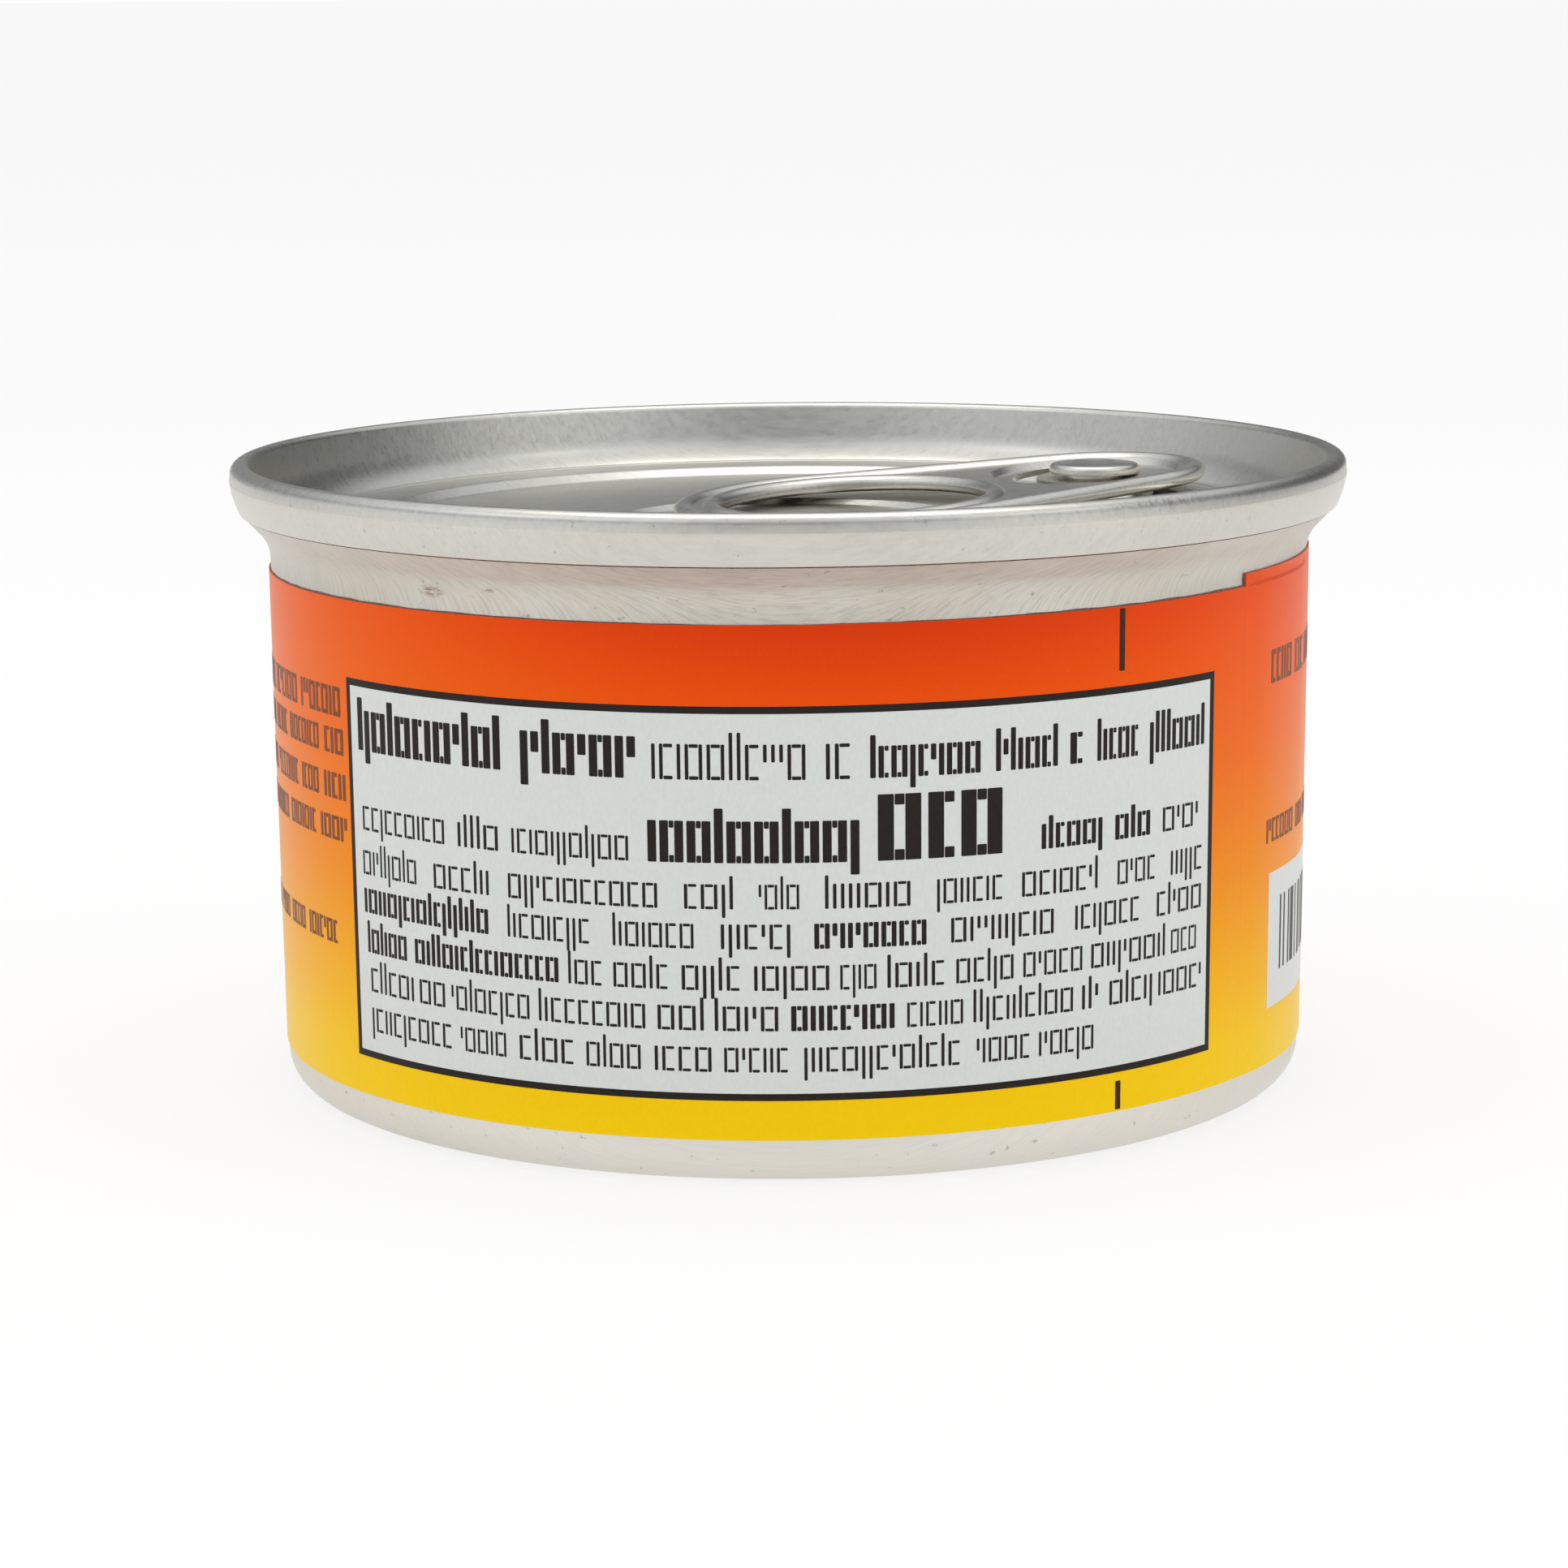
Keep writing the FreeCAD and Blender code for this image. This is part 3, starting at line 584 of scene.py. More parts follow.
def makeTab():
    t = tab
    noseAt, noseRadius = t["nose"]
    ringAt, ringRadius = t["ring"]
    middle = t["thick"] / 2
    clearSelection()
    ringMiddle = (ringAt * mm, 0, middle * mm)
    bpy.ops.mesh.primitive_circle_add(vertices=160, radius=ringRadius * mm, location=ringMiddle)
    bpy.ops.object.transform_apply(location=True)
    piece = takeActive("ringTab")
    bpy.ops.object.mode_set(mode="EDIT")
    # the nose half of the circle is shrunk and carried forward, and the sides are the runs between
    lean = (ringRadius - noseRadius) / (noseAt - ringAt) * ringRadius
    selectPoints(piece, lambda p: p.x - ringAt > lean)
    shrink = noseRadius / ringRadius
    bpy.ops.transform.resize(value=(shrink, shrink, 1), center_override=ringMiddle)
    bpy.ops.transform.translate(value=((noseAt - ringAt) * mm, 0, 0))
    bpy.ops.mesh.select_all(action="SELECT")
    bpy.ops.mesh.edge_face_add()
    bpy.ops.mesh.select_mode(type="FACE")
    bpy.ops.mesh.extrude_region_move(TRANSFORM_OT_translate={"value": (0, 0, t["blank"] * mm)})
    faceOutward()
    # both edges are rolled round with small insets
    half = t["curl"] / 2
    for top, webHeight in ((True, t["web"]), (False, t["underWeb"])):
        blank = t["blank"] if top else 0
        level = middle + blank
        rise = t["thick"] - middle if top else middle
        bpy.ops.mesh.select_mode(type="FACE")
        bpy.ops.mesh.select_all(action="DESELECT")
        bpy.ops.object.mode_set(mode="OBJECT")
        flats = [f for f in piece.data.polygons if (f.normal.z > 0.9) == top and abs(f.normal.z) > 0.9]
        max(flats, key=lambda f: f.area).select = True
        bpy.ops.object.mode_set(mode="EDIT")
        last = (0.0, 0.0)
        limit = math.degrees(math.acos(-0.92))
        for step in range(1, 10):
            angle = math.radians(limit * step / 9)
            at = (half * (1 - math.cos(angle)), (rise - blank) * math.sin(angle))
            bpy.ops.mesh.inset(thickness=(at[0] - last[0]) * mm, depth=(at[1] - last[1]) * mm)
            last = at
        height = level + last[1] if top else level - last[1]
        bpy.ops.transform.translate(value=(0, 0, (webHeight - height) * mm))
        bpy.ops.mesh.delete(type="ONLY_FACE")
    # finger hole with its own rolled edge
    bpy.ops.object.mode_set(mode="OBJECT")
    rollOut = t["hole"] + half * 1.92
    profile = []
    for step in range(19):
        angle = math.radians(-157 + 314 * step / 18)
        height = middle + middle * math.sin(angle)
        profile.append((t["hole"] + half * (1 - math.cos(angle)), height))
    profile[0], profile[-1] = (rollOut, t["underWeb"]), (rollOut, t["web"])
    curl = startPoint("holeCurl", ((ringAt + profile[0][0]) * mm, 0, profile[0][1] * mm))
    drawThrough(profile)
    spinAll(120, middle=ringAt)
    bpy.ops.object.mode_set(mode="OBJECT")
    # dish round the rivet, above and below
    walls = [curl]
    for start, foot in (((t["dish"], t["web"]), (t["dish"] - 0.25, t["island"])),
                        ((t["dish"], t["underWeb"]), (t["dish"] - 0.25, 0.0))):
        wall = startPoint("dishWall", ((noseAt + start[0]) * mm, 0, start[1] * mm))
        drawThrough((start, foot))
        spinAll(96, middle=noseAt)
        bpy.ops.object.mode_set(mode="OBJECT")
        walls.append(wall)
    # slot that frees the tongue: a short wall swept round both arcs
    first = math.pi + math.radians(t["slotHalf"])  # the sweep runs clockwise
    inner, wide = t["slotInner"], t["slotOuter"] - t["slotInner"]
    slot = startPoint("slotWall", (inner * math.cos(first) * mm, inner * math.sin(first) * mm, 0))
    across = (wide * math.cos(first) * mm, wide * math.sin(first) * mm, 0)
    bpy.ops.mesh.extrude_vertices_move(TRANSFORM_OT_translate={"value": across})
    spinAll(40, math.radians(2 * t["slotHalf"]))
    bpy.ops.mesh.dissolve_limited(angle_limit=math.radians(1))
    bpy.ops.mesh.select_all(action="SELECT")
    bpy.ops.mesh.extrude_region_move(TRANSFORM_OT_translate={"value": (0, 0, t["island"] * mm)})
    bpy.ops.mesh.select_all(action="DESELECT")
    bpy.ops.mesh.select_mode(type="FACE")
    bpy.ops.object.mode_set(mode="OBJECT")
    for face in slot.data.polygons:
        face.select = abs(face.normal.z) > 0.5
    bpy.ops.object.mode_set(mode="EDIT")
    bpy.ops.mesh.delete(type="ONLY_FACE")
    bpy.ops.object.mode_set(mode="OBJECT")
    walls.append(slot)
    pickOnly(piece)
    for wall in walls:
        wall.select_set(True)
    bpy.ops.object.join()
    bpy.ops.object.mode_set(mode="EDIT")
    for height, inside in ((t["web"], False), (t["underWeb"], False), (t["island"], True), (0.0, True)):
        def onLevel(point):
            if abs(point.z - height) > 0.003:
                return False
            fromDish = math.hypot(point.x - noseAt, point.y)
            return fromDish < t["dish"] - 0.1 if inside else fromDish > t["dish"] - 0.1
        selectOpenEdges(piece, onLevel)
        bpy.ops.mesh.fill(use_beauty=True)
    bpy.ops.mesh.select_all(action="SELECT")
    bpy.ops.mesh.remove_doubles(threshold=weld * mm)
    faceOutward()
    bpy.ops.object.mode_set(mode="OBJECT")
    place = (Matrix.Translation((rivetX, rivetY, t["lift"] * mm))
             @ Matrix.Rotation(rivet["turn"], 4, "Z") @ Matrix.Rotation(math.radians(-t["tilt"]), 4, "Y"))
    piece.data.transform(place)
    return finishPiece(piece, tabMetal, replaced="pull_tab")


def selectOpenEdges(piece, test):
    bpy.ops.mesh.select_mode(type="EDGE")
    bpy.ops.mesh.select_all(action="DESELECT")
    bpy.ops.object.mode_set(mode="OBJECT")
    used = {}
    for face in piece.data.polygons:
        for key in face.edge_keys:
            used[key] = used.get(key, 0) + 1
    for edge in piece.data.edges:
        isOpen = used.get(edge.key, 0) < 2
        edge.select = isOpen and all(test(piece.data.vertices[index].co / mm) for index in edge.vertices)
    bpy.ops.object.mode_set(mode="EDIT")


makeTab()


label = {
    "glue": 0.02, "thick": 0.09, "lapAt": 56.0, "lapSpread": 17.0, "settle": 7.0,
    "riseHold": 45, "riseRun": 150,  # degrees that the outer end stays high, then comes down over
    "lean": 0.0024, "columns": 378, "rows": 16, "evenRows": 13,
    "neckStart": 31.59, "neckBend": 4.8,  # where the metal begins to flare, and how gently
    "lapShadeLine": (30.97, 31.03, 0.012), "shadow": (31.0, 31.78, -0.09),  # bottom, top, lift
}


def wallAt(z):
    share = min(max((z - labelFoot) / (wallTop - labelFoot), 0), 1)
    return footRadius + (wallRadius - footRadius) * share


def easeShare(value):
    value = min(max(value, 0), 1)
    return value * value * (3 - 2 * value)


def edgeRise(along):
    return lapRise * (1 - easeShare((along - label["riseHold"]) / label["riseRun"]))


def rollRound(r, turn, z):
    # a place at this radius and height, turn in degrees from the front; the sleeve sits a little askew
    angle = math.radians(turn)
    return Vector((r * math.sin(angle), -r * math.cos(angle), z + label["lean"] * r * math.sin(angle))) * mm


def paperRaise(turn):
    # how far the outer layer stands off where it covers the other end, turn in degrees from the front
    past = (turn - label["lapAt"]) % 360
    over = label["lapSpread"]
    if past > over + label["settle"]:
        return 0.0
    pressed = 0.04 + 0.96 * easeShare(past / 5)  # the free edge is glued down hard
    return label["thick"] * pressed * (1 - easeShare((past - over) / label["settle"]))


def onPaper(turn, z, lift):
    # a place on the outside of the label: degrees from the front, height, height above the paper
    return rollRound(wallAt(z) + label["glue"] + label["thick"] + paperRaise(turn) + lift, turn, z)


def makeLabel():
    p = label
    piece = addGrid("paperLabel", p["columns"], p["rows"])
    whole = 360 + p["lapSpread"]
    for vertex in piece.data.vertices:  # the strip is rolled round the wall, outer end first
        along = (vertex.co.x + 0.5) * whole
        row = round((vertex.co.y + 0.5) * p["rows"])
        even = p["evenRows"]
        turn = p["lapAt"] + along
        rise = edgeRise(along)
        part = rise / lapRise
        z = labelFoot + min(row, even) / even * (labelHead - 0.12 - labelFoot)
        if row > even:  # three close rows where the covered end stops
            z = labelHead + (-0.06 + 0.08 * part, -0.03 + 0.15 * part, rise)[row - even - 1]
        outer = along < whole / 2
        raised = 0.0
        if outer and along < p["lapSpread"] + p["settle"]:
            raised = paperRaise(turn)
            if z > labelHead + 0.03:  # past the covered end the paper falls back to the metal
                raised *= 0.1
        vertex.co = rollRound(wallAt(z) + p["glue"] + raised, turn, z)
    bpy.ops.object.mode_set(mode="EDIT")
    faceOutward()
    bpy.ops.object.mode_set(mode="OBJECT")
    outward = sum(face.normal.dot(face.center.normalized()) for face in piece.data.polygons)
    if outward < 0:
        piece.data.flip_normals()
    paper = piece.modifiers.new("paper", "SOLIDIFY")
    paper.thickness = p["thick"] * mm
    paper.offset = 1
    bpy.ops.object.modifier_apply(modifier="paper")
    return finishPiece(piece, labelPaper, replaced="label")


makeLabel()


# painted shade along the paper's top edge
edgeShadeTrail = {
    "wide": 0.11, "lapWide": 0.05, "lapRun": 25,  # degrees from the free edge
    "thinner": 0.08, "frontAt": 304, "frontRun": 16, "overlap": 0.05, "base": 0.03, "lift": 0.008,
}


def makeEdgeShadeLine():
    # painted shade: an uneven dark line all round the top edge of the paper, thinnest at the front
    g = edgeShadeTrail
    piece = addGrid("paintedEdgeShadeLine", 362, 2)
    for vertex in piece.data.vertices:
        along = (vertex.co.x + 0.5) * 360
        turn = label["lapAt"] + along
        wander = noise.noise(Vector((along / 3, 3.7, 0))) * 0.05
        wander += noise.noise(Vector((along / 0.9, 1.2, 0))) * 0.02
        wide = g["lapWide"]
        if along >= g["lapRun"]:
            wide = g["wide"] - g["thinner"] * math.exp(-((along - g["frontAt"]) / g["frontRun"]) ** 2)
        z = labelHead + edgeRise(along) - g["overlap"] + (vertex.co.y + 0.5) * (g["base"] + wide + wander)
        r = wallAt(z) + g["lift"]
        if z > label["neckStart"]:
            r += (z - label["neckStart"]) ** 2 / label["neckBend"]
        vertex.co = rollRound(r, turn, z)
    skin = piece.modifiers.new("skin", "SOLIDIFY")
    skin.thickness = printThick * mm
    bpy.ops.object.modifier_apply(modifier="skin")
    bpy.ops.object.mode_set(mode="EDIT")
    faceOutward()
    bpy.ops.object.mode_set(mode="OBJECT")
    return finishPiece(piece, edgeShadePrint)


makeEdgeShadeLine()


def makePatch(name, material, low, high, bottom, top, lift, corner=0.0):
    # a flat field of print, low to high in millimetres along the paper
    piece = addGrid(name, max(2, int((high - low) / 0.55)), 10)
    closeBelow()
    for vertex in piece.data.vertices:
        arc = low + (vertex.co.x + 0.5) * (high - low)
        z = bottom + (vertex.co.y + 0.5) * (top - bottom)
        if corner:  # round the field's corners
            overX = max(low + corner - arc, arc - high + corner, 0)
            if overX:
                cut = corner - math.sqrt(max(corner * corner - overX * overX, 0))
                half = (top - bottom) / 2
                z = bottom + half + (z - bottom - half) * (half - cut) / half
        turn = math.degrees(arc / printRadius)
        vertex.co = onPaper(turn, z, lift + vertex.co.z * printThick)
    return finishPiece(piece, material, angle=60)


def makeMarkBlank():
    # one rounded mark, copied for every stroke of the print
    clearSelection()
    bpy.ops.mesh.primitive_circle_add(vertices=12, radius=1, fill_type="NGON", location=(0, 0, 0),
                                      rotation=(0, 0, math.radians(15)))
    bpy.ops.object.transform_apply(rotation=True)
    piece = takeActive("markBlank")
    closeBelow()
    return piece


def copyMark(blank, arc, bottom, width, height, corner, lift):
    copy = blank.copy()
    copy.data = blank.data.copy()
    bpy.context.collection.objects.link(copy)
    corner = min(corner, width / 2, height / 2)
    for vertex in copy.data.vertices:
        x, y = vertex.co.x, vertex.co.y
        across = math.copysign(width / 2 - corner, x) + corner * x
        up = math.copysign(height / 2 - corner, y) + corner * y
        turn = math.degrees((arc + across) / printRadius)
        vertex.co = onPaper(turn, bottom + height / 2 + up, lift + vertex.co.z * printThick)
    return copy


def joinMarks(name, copies, material):
    clearSelection()
    for copy in copies:
        copy.select_set(True)
    bpy.context.view_layer.objects.active = copies[0]
    bpy.ops.object.join()
    return finishPiece(takeActive(name), material, angle=60)


panel = {
    "low": -29.1, "high": 27.1, "bottom": 4.85, "top": 26.6, "line": 0.4,
    "fieldLift": 0.012, "markLift": 0.024,
    # strokes per weight: upright, bar length, bar thickness, gap, capital height, small height
    "weights": {
        "heavy": (0.47, 0.26, 0.4, 0.17, 3.0, 2.3), "bold": (0.3, 0.22, 0.28, 0.14, 2.35, 1.75),
        "huge": (0.8, 0.5, 0.6, 0.35, 3.65, 3.65), "large": (0.22, 0.56, 0.2, 0.26, 2.6, 1.95),
        "plain": (0.18, 0.44, 0.16, 0.22, 1.85, 1.38), "strong": (0.28, 0.24, 0.24, 0.15, 1.85, 1.4),
        "side": (0.34, 0.3, 0.28, 0.2, 1.9, 1.9),
    },
    # rows: height of the foot of the row, then start, end and weight of each word
    "rows": [
        (22.6, [(-28.0, -16.7, "heavy"), (-15.4, -8.5, "heavy"), (-7.6, 0.8, "large"), (1.9, 3.2, "large"),
                (4.3, 10.5, "bold"), (11.4, 15.2, "bold"), (16.0, 16.8, "bold"), (17.8, 20.7, "bold"),
                (21.6, 26.2, "bold")]),
        (18.05, [(-27.8, -20.8, "plain"), (-19.8, -17.0, "plain"), (-16.1, -9.0, "plain"),
                 (-7.9, 3.7, "heavy"), (4.7, 11.8, "huge"), (14.2, 18.2, "strong"), (19.1, 21.7, "strong"),
                 (22.7, 25.7, "plain")]),
        (15.5, [(-27.9, -23.1, "plain"), (-21.7, -17.7, "plain"), (-16.4, -7.4, "plain"),
                (-5.9, -3.2, "plain"), (-1.8, 0.4, "plain"), (1.8, 6.5, "plain"), (8.0, 11.8, "plain"),
                (13.0, 17.9, "plain"), (19.3, 22.1, "plain"), (23.4, 26.1, "plain")]),
        (13.3, [(-27.9, -17.8, "strong"), (-16.5, -11.4, "plain"), (-10.0, -5.4, "plain"),
                (-3.9, -0.1, "plain"), (1.2, 7.4, "strong"), (8.8, 15.0, "plain"), (16.4, 20.9, "plain"),
                (22.3, 26.1, "plain")]),
        (11.0, [(-27.7, -24.1, "strong"), (-23.4, -13.3, "strong"), (-12.7, -10.7, "plain"),
                (-10.0, -6.9, "plain"), (-6.1, -2.9, "plain"), (-2.1, 2.0, "plain"), (2.6, 4.6, "plain"),
                (5.2, 8.4, "plain"), (9.1, 12.5, "plain"), (13.1, 16.9, "plain"), (17.5, 23.0, "plain"),
                (23.5, 25.7, "plain")]),
        (8.75, [(-27.5, -23.6, "plain"), (-23.1, -21.1, "plain"), (-20.6, -15.2, "plain"),
                (-14.6, -8.2, "plain"), (-7.5, -4.9, "plain"), (-4.3, -0.8, "plain"),
                (-0.1, 5.6, "strong"), (6.3, 9.5, "plain"), (10.1, 16.3, "plain"), (16.9, 18.0, "plain"),
                (18.8, 22.0, "plain"), (22.5, 26.2, "plain")]),
        (6.45, [(-27.5, -20.7, "plain"), (-20.0, -16.8, "plain"), (-15.9, -12.5, "plain"),
                (-11.7, -8.5, "plain"), (-7.7, -4.5, "plain"), (-3.8, -0.3, "plain"), (0.6, 9.3, "plain"),
                (10.3, 13.5, "plain"), (14.1, 17.7, "plain")]),
    ],
}


def strokesFor(blank, foot, start, stop, weight, lift, scale=1.0):
    # plain uprights with short bars beside them fill a word's space and spell nothing
    stem, wide, thin, gap, tall, small = (part * scale for part in panel["weights"][weight])
    cells = []
    arc = 0.0
    while arc < stop - start - stem:
        pick = dice.random()
        if pick < 0.34:
            cells.append((arc, stem, 0.0, tall if dice.random() < 0.45 else small))
            arc += stem
        elif pick < 0.42:
            cells.append((arc, stem, small - tall, tall))
            arc += stem
        elif pick < 0.94:
            cells.append((arc, stem, 0.0, small))
            arc += stem + 0.03
            cells.append((arc, wide, 0.0, thin))
            cells.append((arc, wide, small - thin, thin))
            arc += wide
            if dice.random() < 0.6:
                cells.append((arc + 0.03, stem, 0.0, small))
                arc += stem + 0.03
        else:
            cells.append((arc, stem, small * 0.5, small * 0.5))
            arc += stem
        arc += gap
    reach = max(place + width for place, width, _, _ in cells)
    fit = (stop - start) / reach
    return [copyMark(blank, start + (place + width / 2) * fit, foot + low, width * fit, height, 0.07, lift)
            for place, width, low, height in cells]


def makePanel():
    q = panel
    makePatch("panelEdge", inkPrint, q["low"], q["high"], q["bottom"], q["top"], q["fieldLift"])
    line = q["line"]
    makePatch("panelField", blankPrint, q["low"] + line, q["high"] - line,
              q["bottom"] + line, q["top"] - line, q["fieldLift"] + 0.008)
    blank = makeMarkBlank()
    copies = []
    for foot, words in q["rows"]:
        for start, stop, weight in words:
            copies += strokesFor(blank, foot, start, stop, weight, q["markLift"] + 0.004)
    joinMarks("panelMarks", copies, inkPrint)
    return blank


markBlank = makePanel()

sideMarks = {
    "ticks": [(19.49, 27.45, 30.9), (19.49, 2.72, 4.35)],  # arc, bottom, top
    "tickWidth": 0.38,
    # rows: foot, height, near and far arc
    "rows": [(24.2, 1.7, -29.9, -57.0), (22.0, 1.5, -29.7, -58.0), (19.4, 1.5, -29.6, -56.0),
             (17.0, 1.4, -29.6, -58.0), (10.9, 1.35, -31.2, -46.0), (25.0, 1.95, 33.8, 58.0),
             (15.7, 1.4, 33.5, 57.0)],
    "codeLow": 34.0, "codeHigh": 58.0, "codeBottom": 5.9, "codeTop": 13.9,
}


def makeSidePrint(blank):
    s = sideMarks
    copies = [copyMark(blank, arc, bottom, s["tickWidth"], top - bottom, 0.05, 0.014)
              for arc, bottom, top in s["ticks"]]
    joinMarks("tickMarks", copies, tickPrint)
    copies = []
    for foot, height, near, far in s["rows"]:
        arc, step = near, math.copysign(1, far - near)
        while abs(arc - near) < abs(far - near):
            run = dice.uniform(2.2, 5.4)
            low, high = sorted((arc, arc + step * run))
            copies += strokesFor(blank, foot, low, high, "side", 0.018, height / 1.9)
            arc += step * (run + 0.8)
    joinMarks("sideMarks", copies, faintPrint)
    makePatch("codeField", blankPrint, s["codeLow"], s["codeHigh"], s["codeBottom"], s["codeTop"], 0.014)
    copies = []
    arc = s["codeLow"] + 2.0
    while arc < s["codeHigh"] - 2.0:
        width = dice.choice((0.25, 0.25, 0.5, 0.75))
        copies.append(copyMark(blank, arc + width / 2, s["codeBottom"] + 2.0, width, 4.4, 0.04, 0.026))
        arc += width + dice.choice((0.3, 0.5, 0.75))
    joinMarks("codeBars", copies, inkPrint)


makeSidePrint(markBlank)


backPrint = {
    # near and far arc, bottom, top, lift
    "edge": (72.0, 124.0, 5.2, 28.4, 0.012), "edgeCorner": 3.4,
    "field": (72.6, 123.4, 5.8, 27.8, 0.020), "fieldCorner": 2.9, "markLift": 0.036,
    # foot, scale, weight, words
    "rows": [(17.6, 2.0, "heavy", ((79.0, 92.5), (95.0, 106.0), (108.5, 117.0))),
             (12.6, 1.35, "large", ((84.0, 92.0), (94.0, 103.5), (105.5, 112.0))),
             (8.9, 1.1, "plain", ((87.0, 91.5), (92.7, 99.0), (100.2, 103.0), (104.2, 109.0)))],
}


def makeBackPrint(blank):
    # the side away from the panel has plain fields of its own
    b = backPrint
    makePatch("backEdge", inkPrint, *b["edge"], corner=b["edgeCorner"])
    makePatch("backField", blankPrint, *b["field"], corner=b["fieldCorner"])
    copies = []
    for foot, scale, weight, words in b["rows"]:
        for low, high in words:
            copies += strokesFor(blank, foot, low, high, weight, b["markLift"], scale)
    joinMarks("backMarks", copies, inkPrint)


def makeLapPrint():
    # painted shade: a darker line along the paper's bend over the covered end, and the shade beside the
    # free edge
    near = math.radians(label["lapAt"]) * printRadius
    far = near + math.radians(label["lapSpread"]) * printRadius
    makePatch("paintedLapShade", lapShadePrint, near + 0.3, far, *label["lapShadeLine"])
    makePatch("lapShadow", edgeShadePrint, near - 0.12, near - 0.01, *label["shadow"])


makeBackPrint(markBlank)
makeLapPrint()
bpy.data.objects.remove(markBlank)
print("label printed")


view = {
    "sensor": 36, "lens": 104.94, "clip": (0.005, 50),
    "place": (0, -0.27274, 0.06461), "turns": ((0.0864, "Z"), (80.096, "X"), (-0.5475, "Z")),  # degrees
}


def makeCamera():
    data = bpy.data.cameras.new("camera")
    data.sensor_width = view["sensor"]
    data.lens = view["lens"]
    data.clip_start, data.clip_end = view["clip"]
    camera = bpy.data.objects.new("camera", data)
    bpy.context.scene.collection.objects.link(camera)
    matrix = Matrix.Translation(view["place"])
    for degrees, axis in view["turns"]:
        matrix = matrix @ Matrix.Rotation(math.radians(degrees), 4, axis)
    camera.matrix_world = matrix
    bpy.context.scene.camera = camera


lamps = [  # name, place, what it points at, size, power
    ("overhead", (0.0, 0.05, 0.75), (0, 0, 0.03), (0.6, 0.4), 1.5),
    ("leftSoftbox", (-0.62, -0.3, 0.32), (0, 0, 0.02), (0.5, 0.5), 0.8),
    ("rightSoftbox", (0.62, -0.3, 0.3), (0, 0, 0.02), (0.4, 0.5), 0.85),
]


def addLamp(name, place, target, size, power):
    data = bpy.data.lights.new(name, "AREA")
    data.shape = "RECTANGLE"
    data.size, data.size_y = size
    data.energy = power
    lamp = bpy.data.objects.new(name, data)
    bpy.context.scene.collection.objects.link(lamp)
    lamp.location = place
    lamp.rotation_euler = (Vector(target) - Vector(place)).to_track_quat("-Z", "Y").to_euler()


def glossyOrClear(owner, rays):
    return addMath(owner, "MAXIMUM", rays.outputs["Is Glossy Ray"], rays.outputs["Is Transmission Ray"])


def makeWorld():
    world = bpy.data.worlds.new("studio")
    bpy.context.scene.world = world
    world.use_nodes = True
    back = world.node_tree.nodes["Background"]
    back.inputs["Color"].default_value = (1, 1, 1, 1)
    rays = addNode(world, "ShaderNodeLightPath")
    seen = addMath(world, "MAXIMUM", rays.outputs["Is Camera Ray"], glossyOrClear(world, rays))
    plug(world, addRange(world, seen, 0.0, 1.0, 0.76, 1.0), back, "Strength")


flagLook = {
    "radius": 0.62, "height": 0.8, "middle": 0.43, "foot": 0.03, "top": 0.83,
    # brightness: at the sides, how much more at the front, how much less to the right
    "side": 0.72, "front": 0.49, "right": 0.27, "frontDip": -0.3, "frontArc": (0.86, 0.97),
    # brightness by the share of the band's height
    "rise": [(0.0, 0.95), (0.09, 0.95), (0.16, 0.6), (0.27, 0.5), (0.4, 0.8), (0.6, 1.1)],
    "topArc": (0.34, 0.6), "topLevel": 0.8, "tint": (0.95, 1.0, 1.05),
}


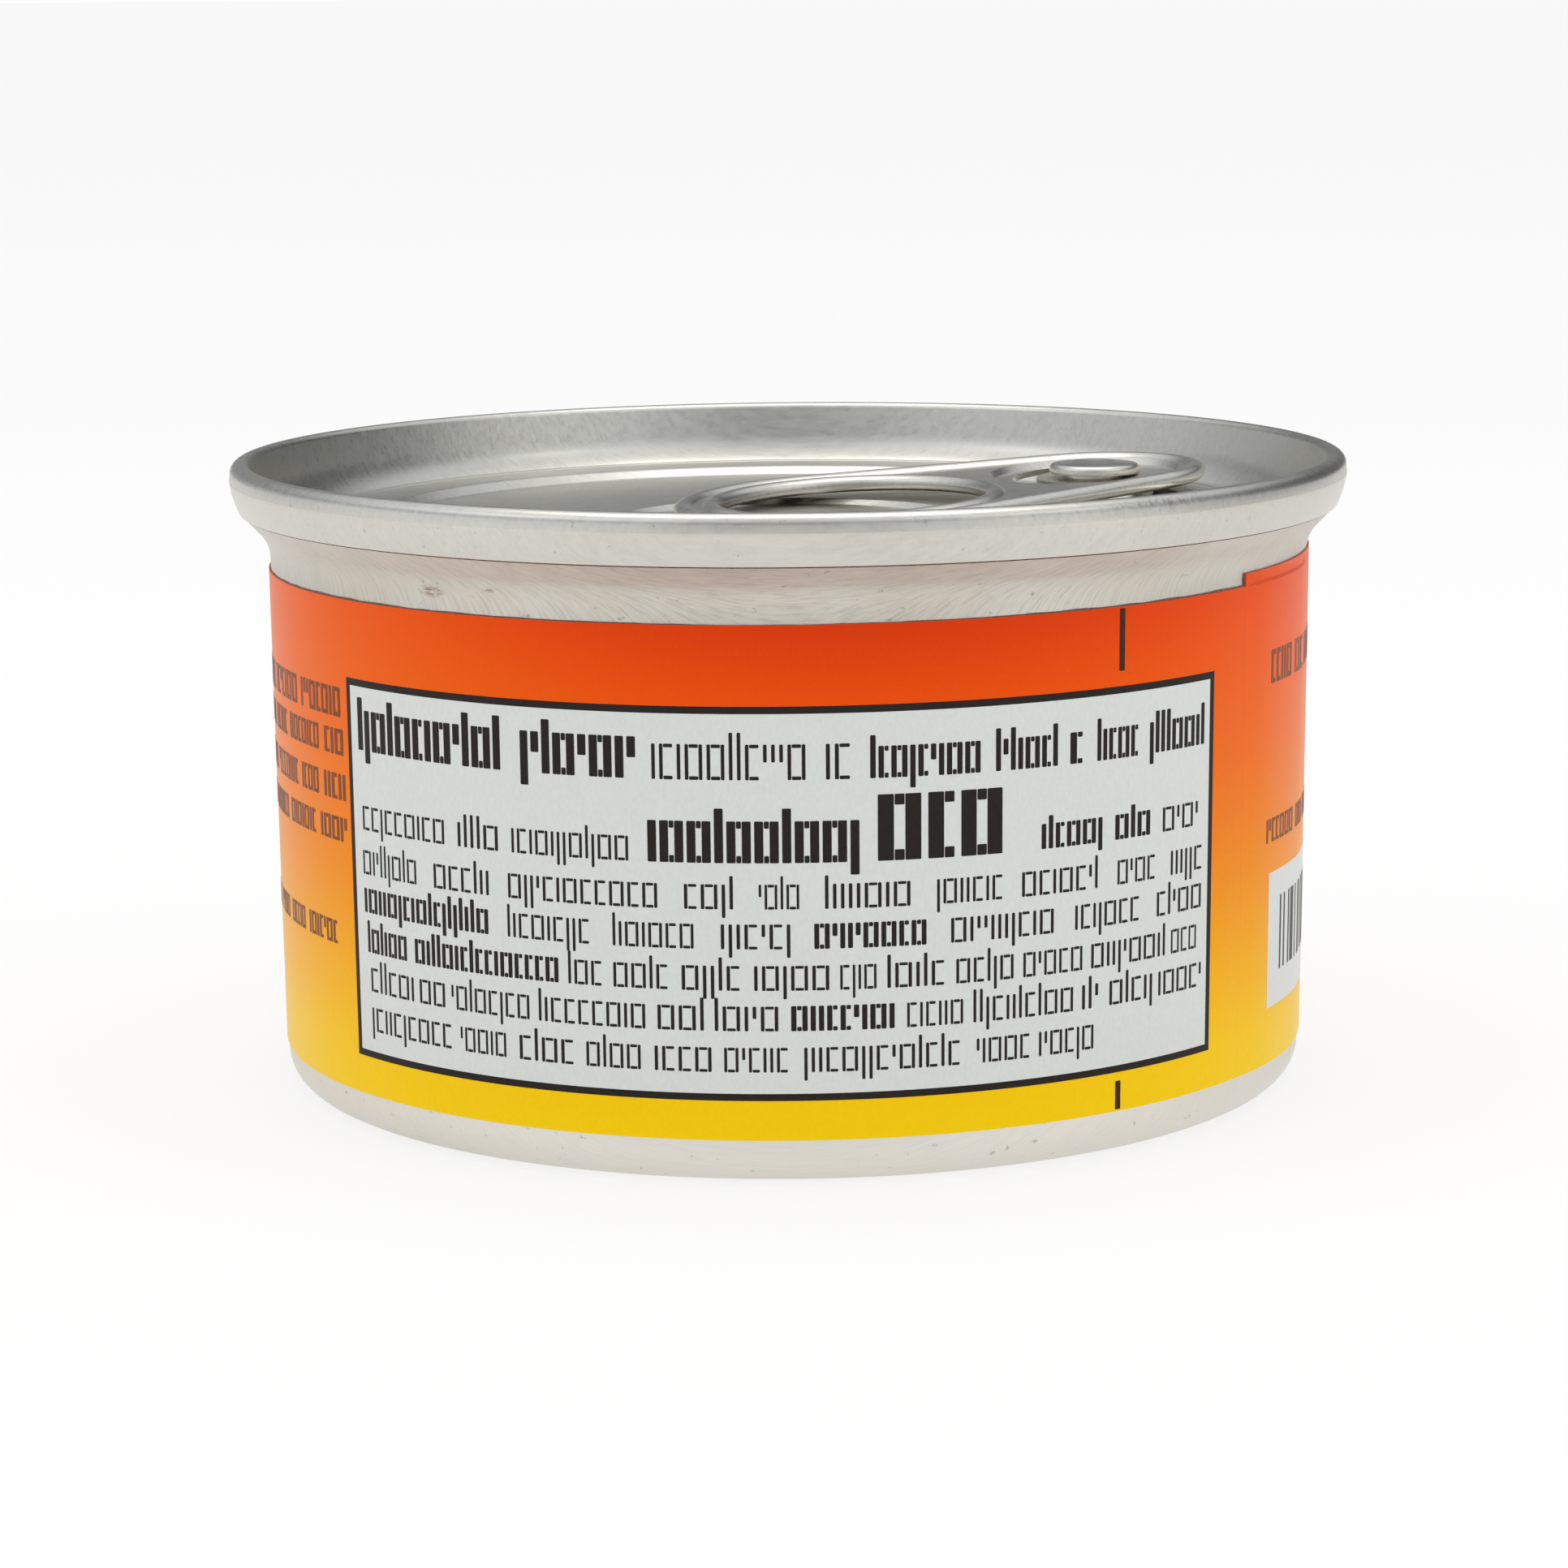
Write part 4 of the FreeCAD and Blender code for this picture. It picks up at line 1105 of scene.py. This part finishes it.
def makeFlag():
    # a dark band all round that only reflections see, as the room beyond a white table
    f = flagLook
    clearSelection()
    bpy.ops.mesh.primitive_cylinder_add(vertices=96, radius=f["radius"], depth=f["height"],
                                        end_fill_type="NOTHING", location=(0, 0, f["middle"]))
    bpy.ops.object.transform_apply(location=True)
    flag = bpy.context.object
    flag.name = "flag"
    material = bpy.data.materials.new("flagShade")
    material.use_nodes = True
    parts = addNode(material, "ShaderNodeSeparateXYZ", {0: objectCoords(material)})
    side = addMath(material, "MULTIPLY", parts.outputs["X"], -f["right"] / f["radius"])
    front = addMath(material, "MULTIPLY", parts.outputs["Y"], -1 / f["radius"])
    level = addMath(material, "MULTIPLY_ADD", front, f["front"], f["side"])
    level = addMath(material, "MINIMUM", addMath(material, "ADD", level, side), 1.0)
    middle = addRange(material, front, *f["frontArc"])
    level = addMath(material, "MULTIPLY_ADD", middle, f["frontDip"], level)
    up = addRange(material, parts.outputs["Z"], f["foot"], f["top"])
    shade = mixColours(material, 1.0, addRamp(material, up, f["rise"]), level, "MULTIPLY")
    top = addRange(material, up, *f["topArc"], 0.0, f["topLevel"])
    shade = mixColours(material, 1.0, shade, top, "LIGHTEN")
    glow = addNode(material, "ShaderNodeEmission")
    plug(material, mixColours(material, 1.0, shade, f["tint"], "MULTIPLY"), glow, "Color")
    plug(material, glow.outputs[0], material.node_tree.nodes["Material Output"], "Surface")
    flag.data.materials.append(material)
    flag.visible_camera = False
    flag.visible_diffuse = False
    flag.visible_shadow = False
    flag.visible_transmission = False


# the floor's own glow for the camera, and the part of it that metal sees:
# all of it near this place along x, least further off
floorLook = {"glow": 0.76, "farGlow": 0.1, "middle": 0.025, "near": 0.03, "far": 0.12}


def makeFloor():
    f = floorLook
    clearSelection()
    bpy.ops.mesh.primitive_plane_add(size=60, location=(0, 0, 0))
    floor = bpy.context.object
    floor.name = "floor"
    material, shader = newMaterial("floorWhite", 0.0, 0.75, (0.93, 0.93, 0.925))
    glow = addNode(material, "ShaderNodeEmission", {"Color": (1, 1, 1, 1)})
    rays = addNode(material, "ShaderNodeLightPath")
    parts = addNode(material, "ShaderNodeSeparateXYZ", {0: objectCoords(material)})
    away = addMath(material, "ABSOLUTE", addMath(material, "SUBTRACT", parts.outputs["X"], f["middle"]))
    aside = addRange(material, away, f["near"], f["far"], f["glow"], f["farGlow"])
    direct = addMath(material, "MULTIPLY", rays.outputs["Is Camera Ray"], f["glow"])
    mirrored = addMath(material, "MULTIPLY", glossyOrClear(material, rays), aside)
    part = addMath(material, "MAXIMUM", direct, mirrored)
    mix = addNode(material, "ShaderNodeMixShader", {0: part, 1: shader.outputs[0], 2: glow.outputs[0]})
    plug(material, mix.outputs[0], material.node_tree.nodes["Material Output"], "Surface")
    floor.data.materials.append(material)


bpy.context.scene.view_settings.view_transform = "Standard"
makeCamera()
makeWorld()
for lampSet in lamps:
    addLamp(*lampSet)
makeFlag()
makeFloor()
print("camera, lamps and floor ready")
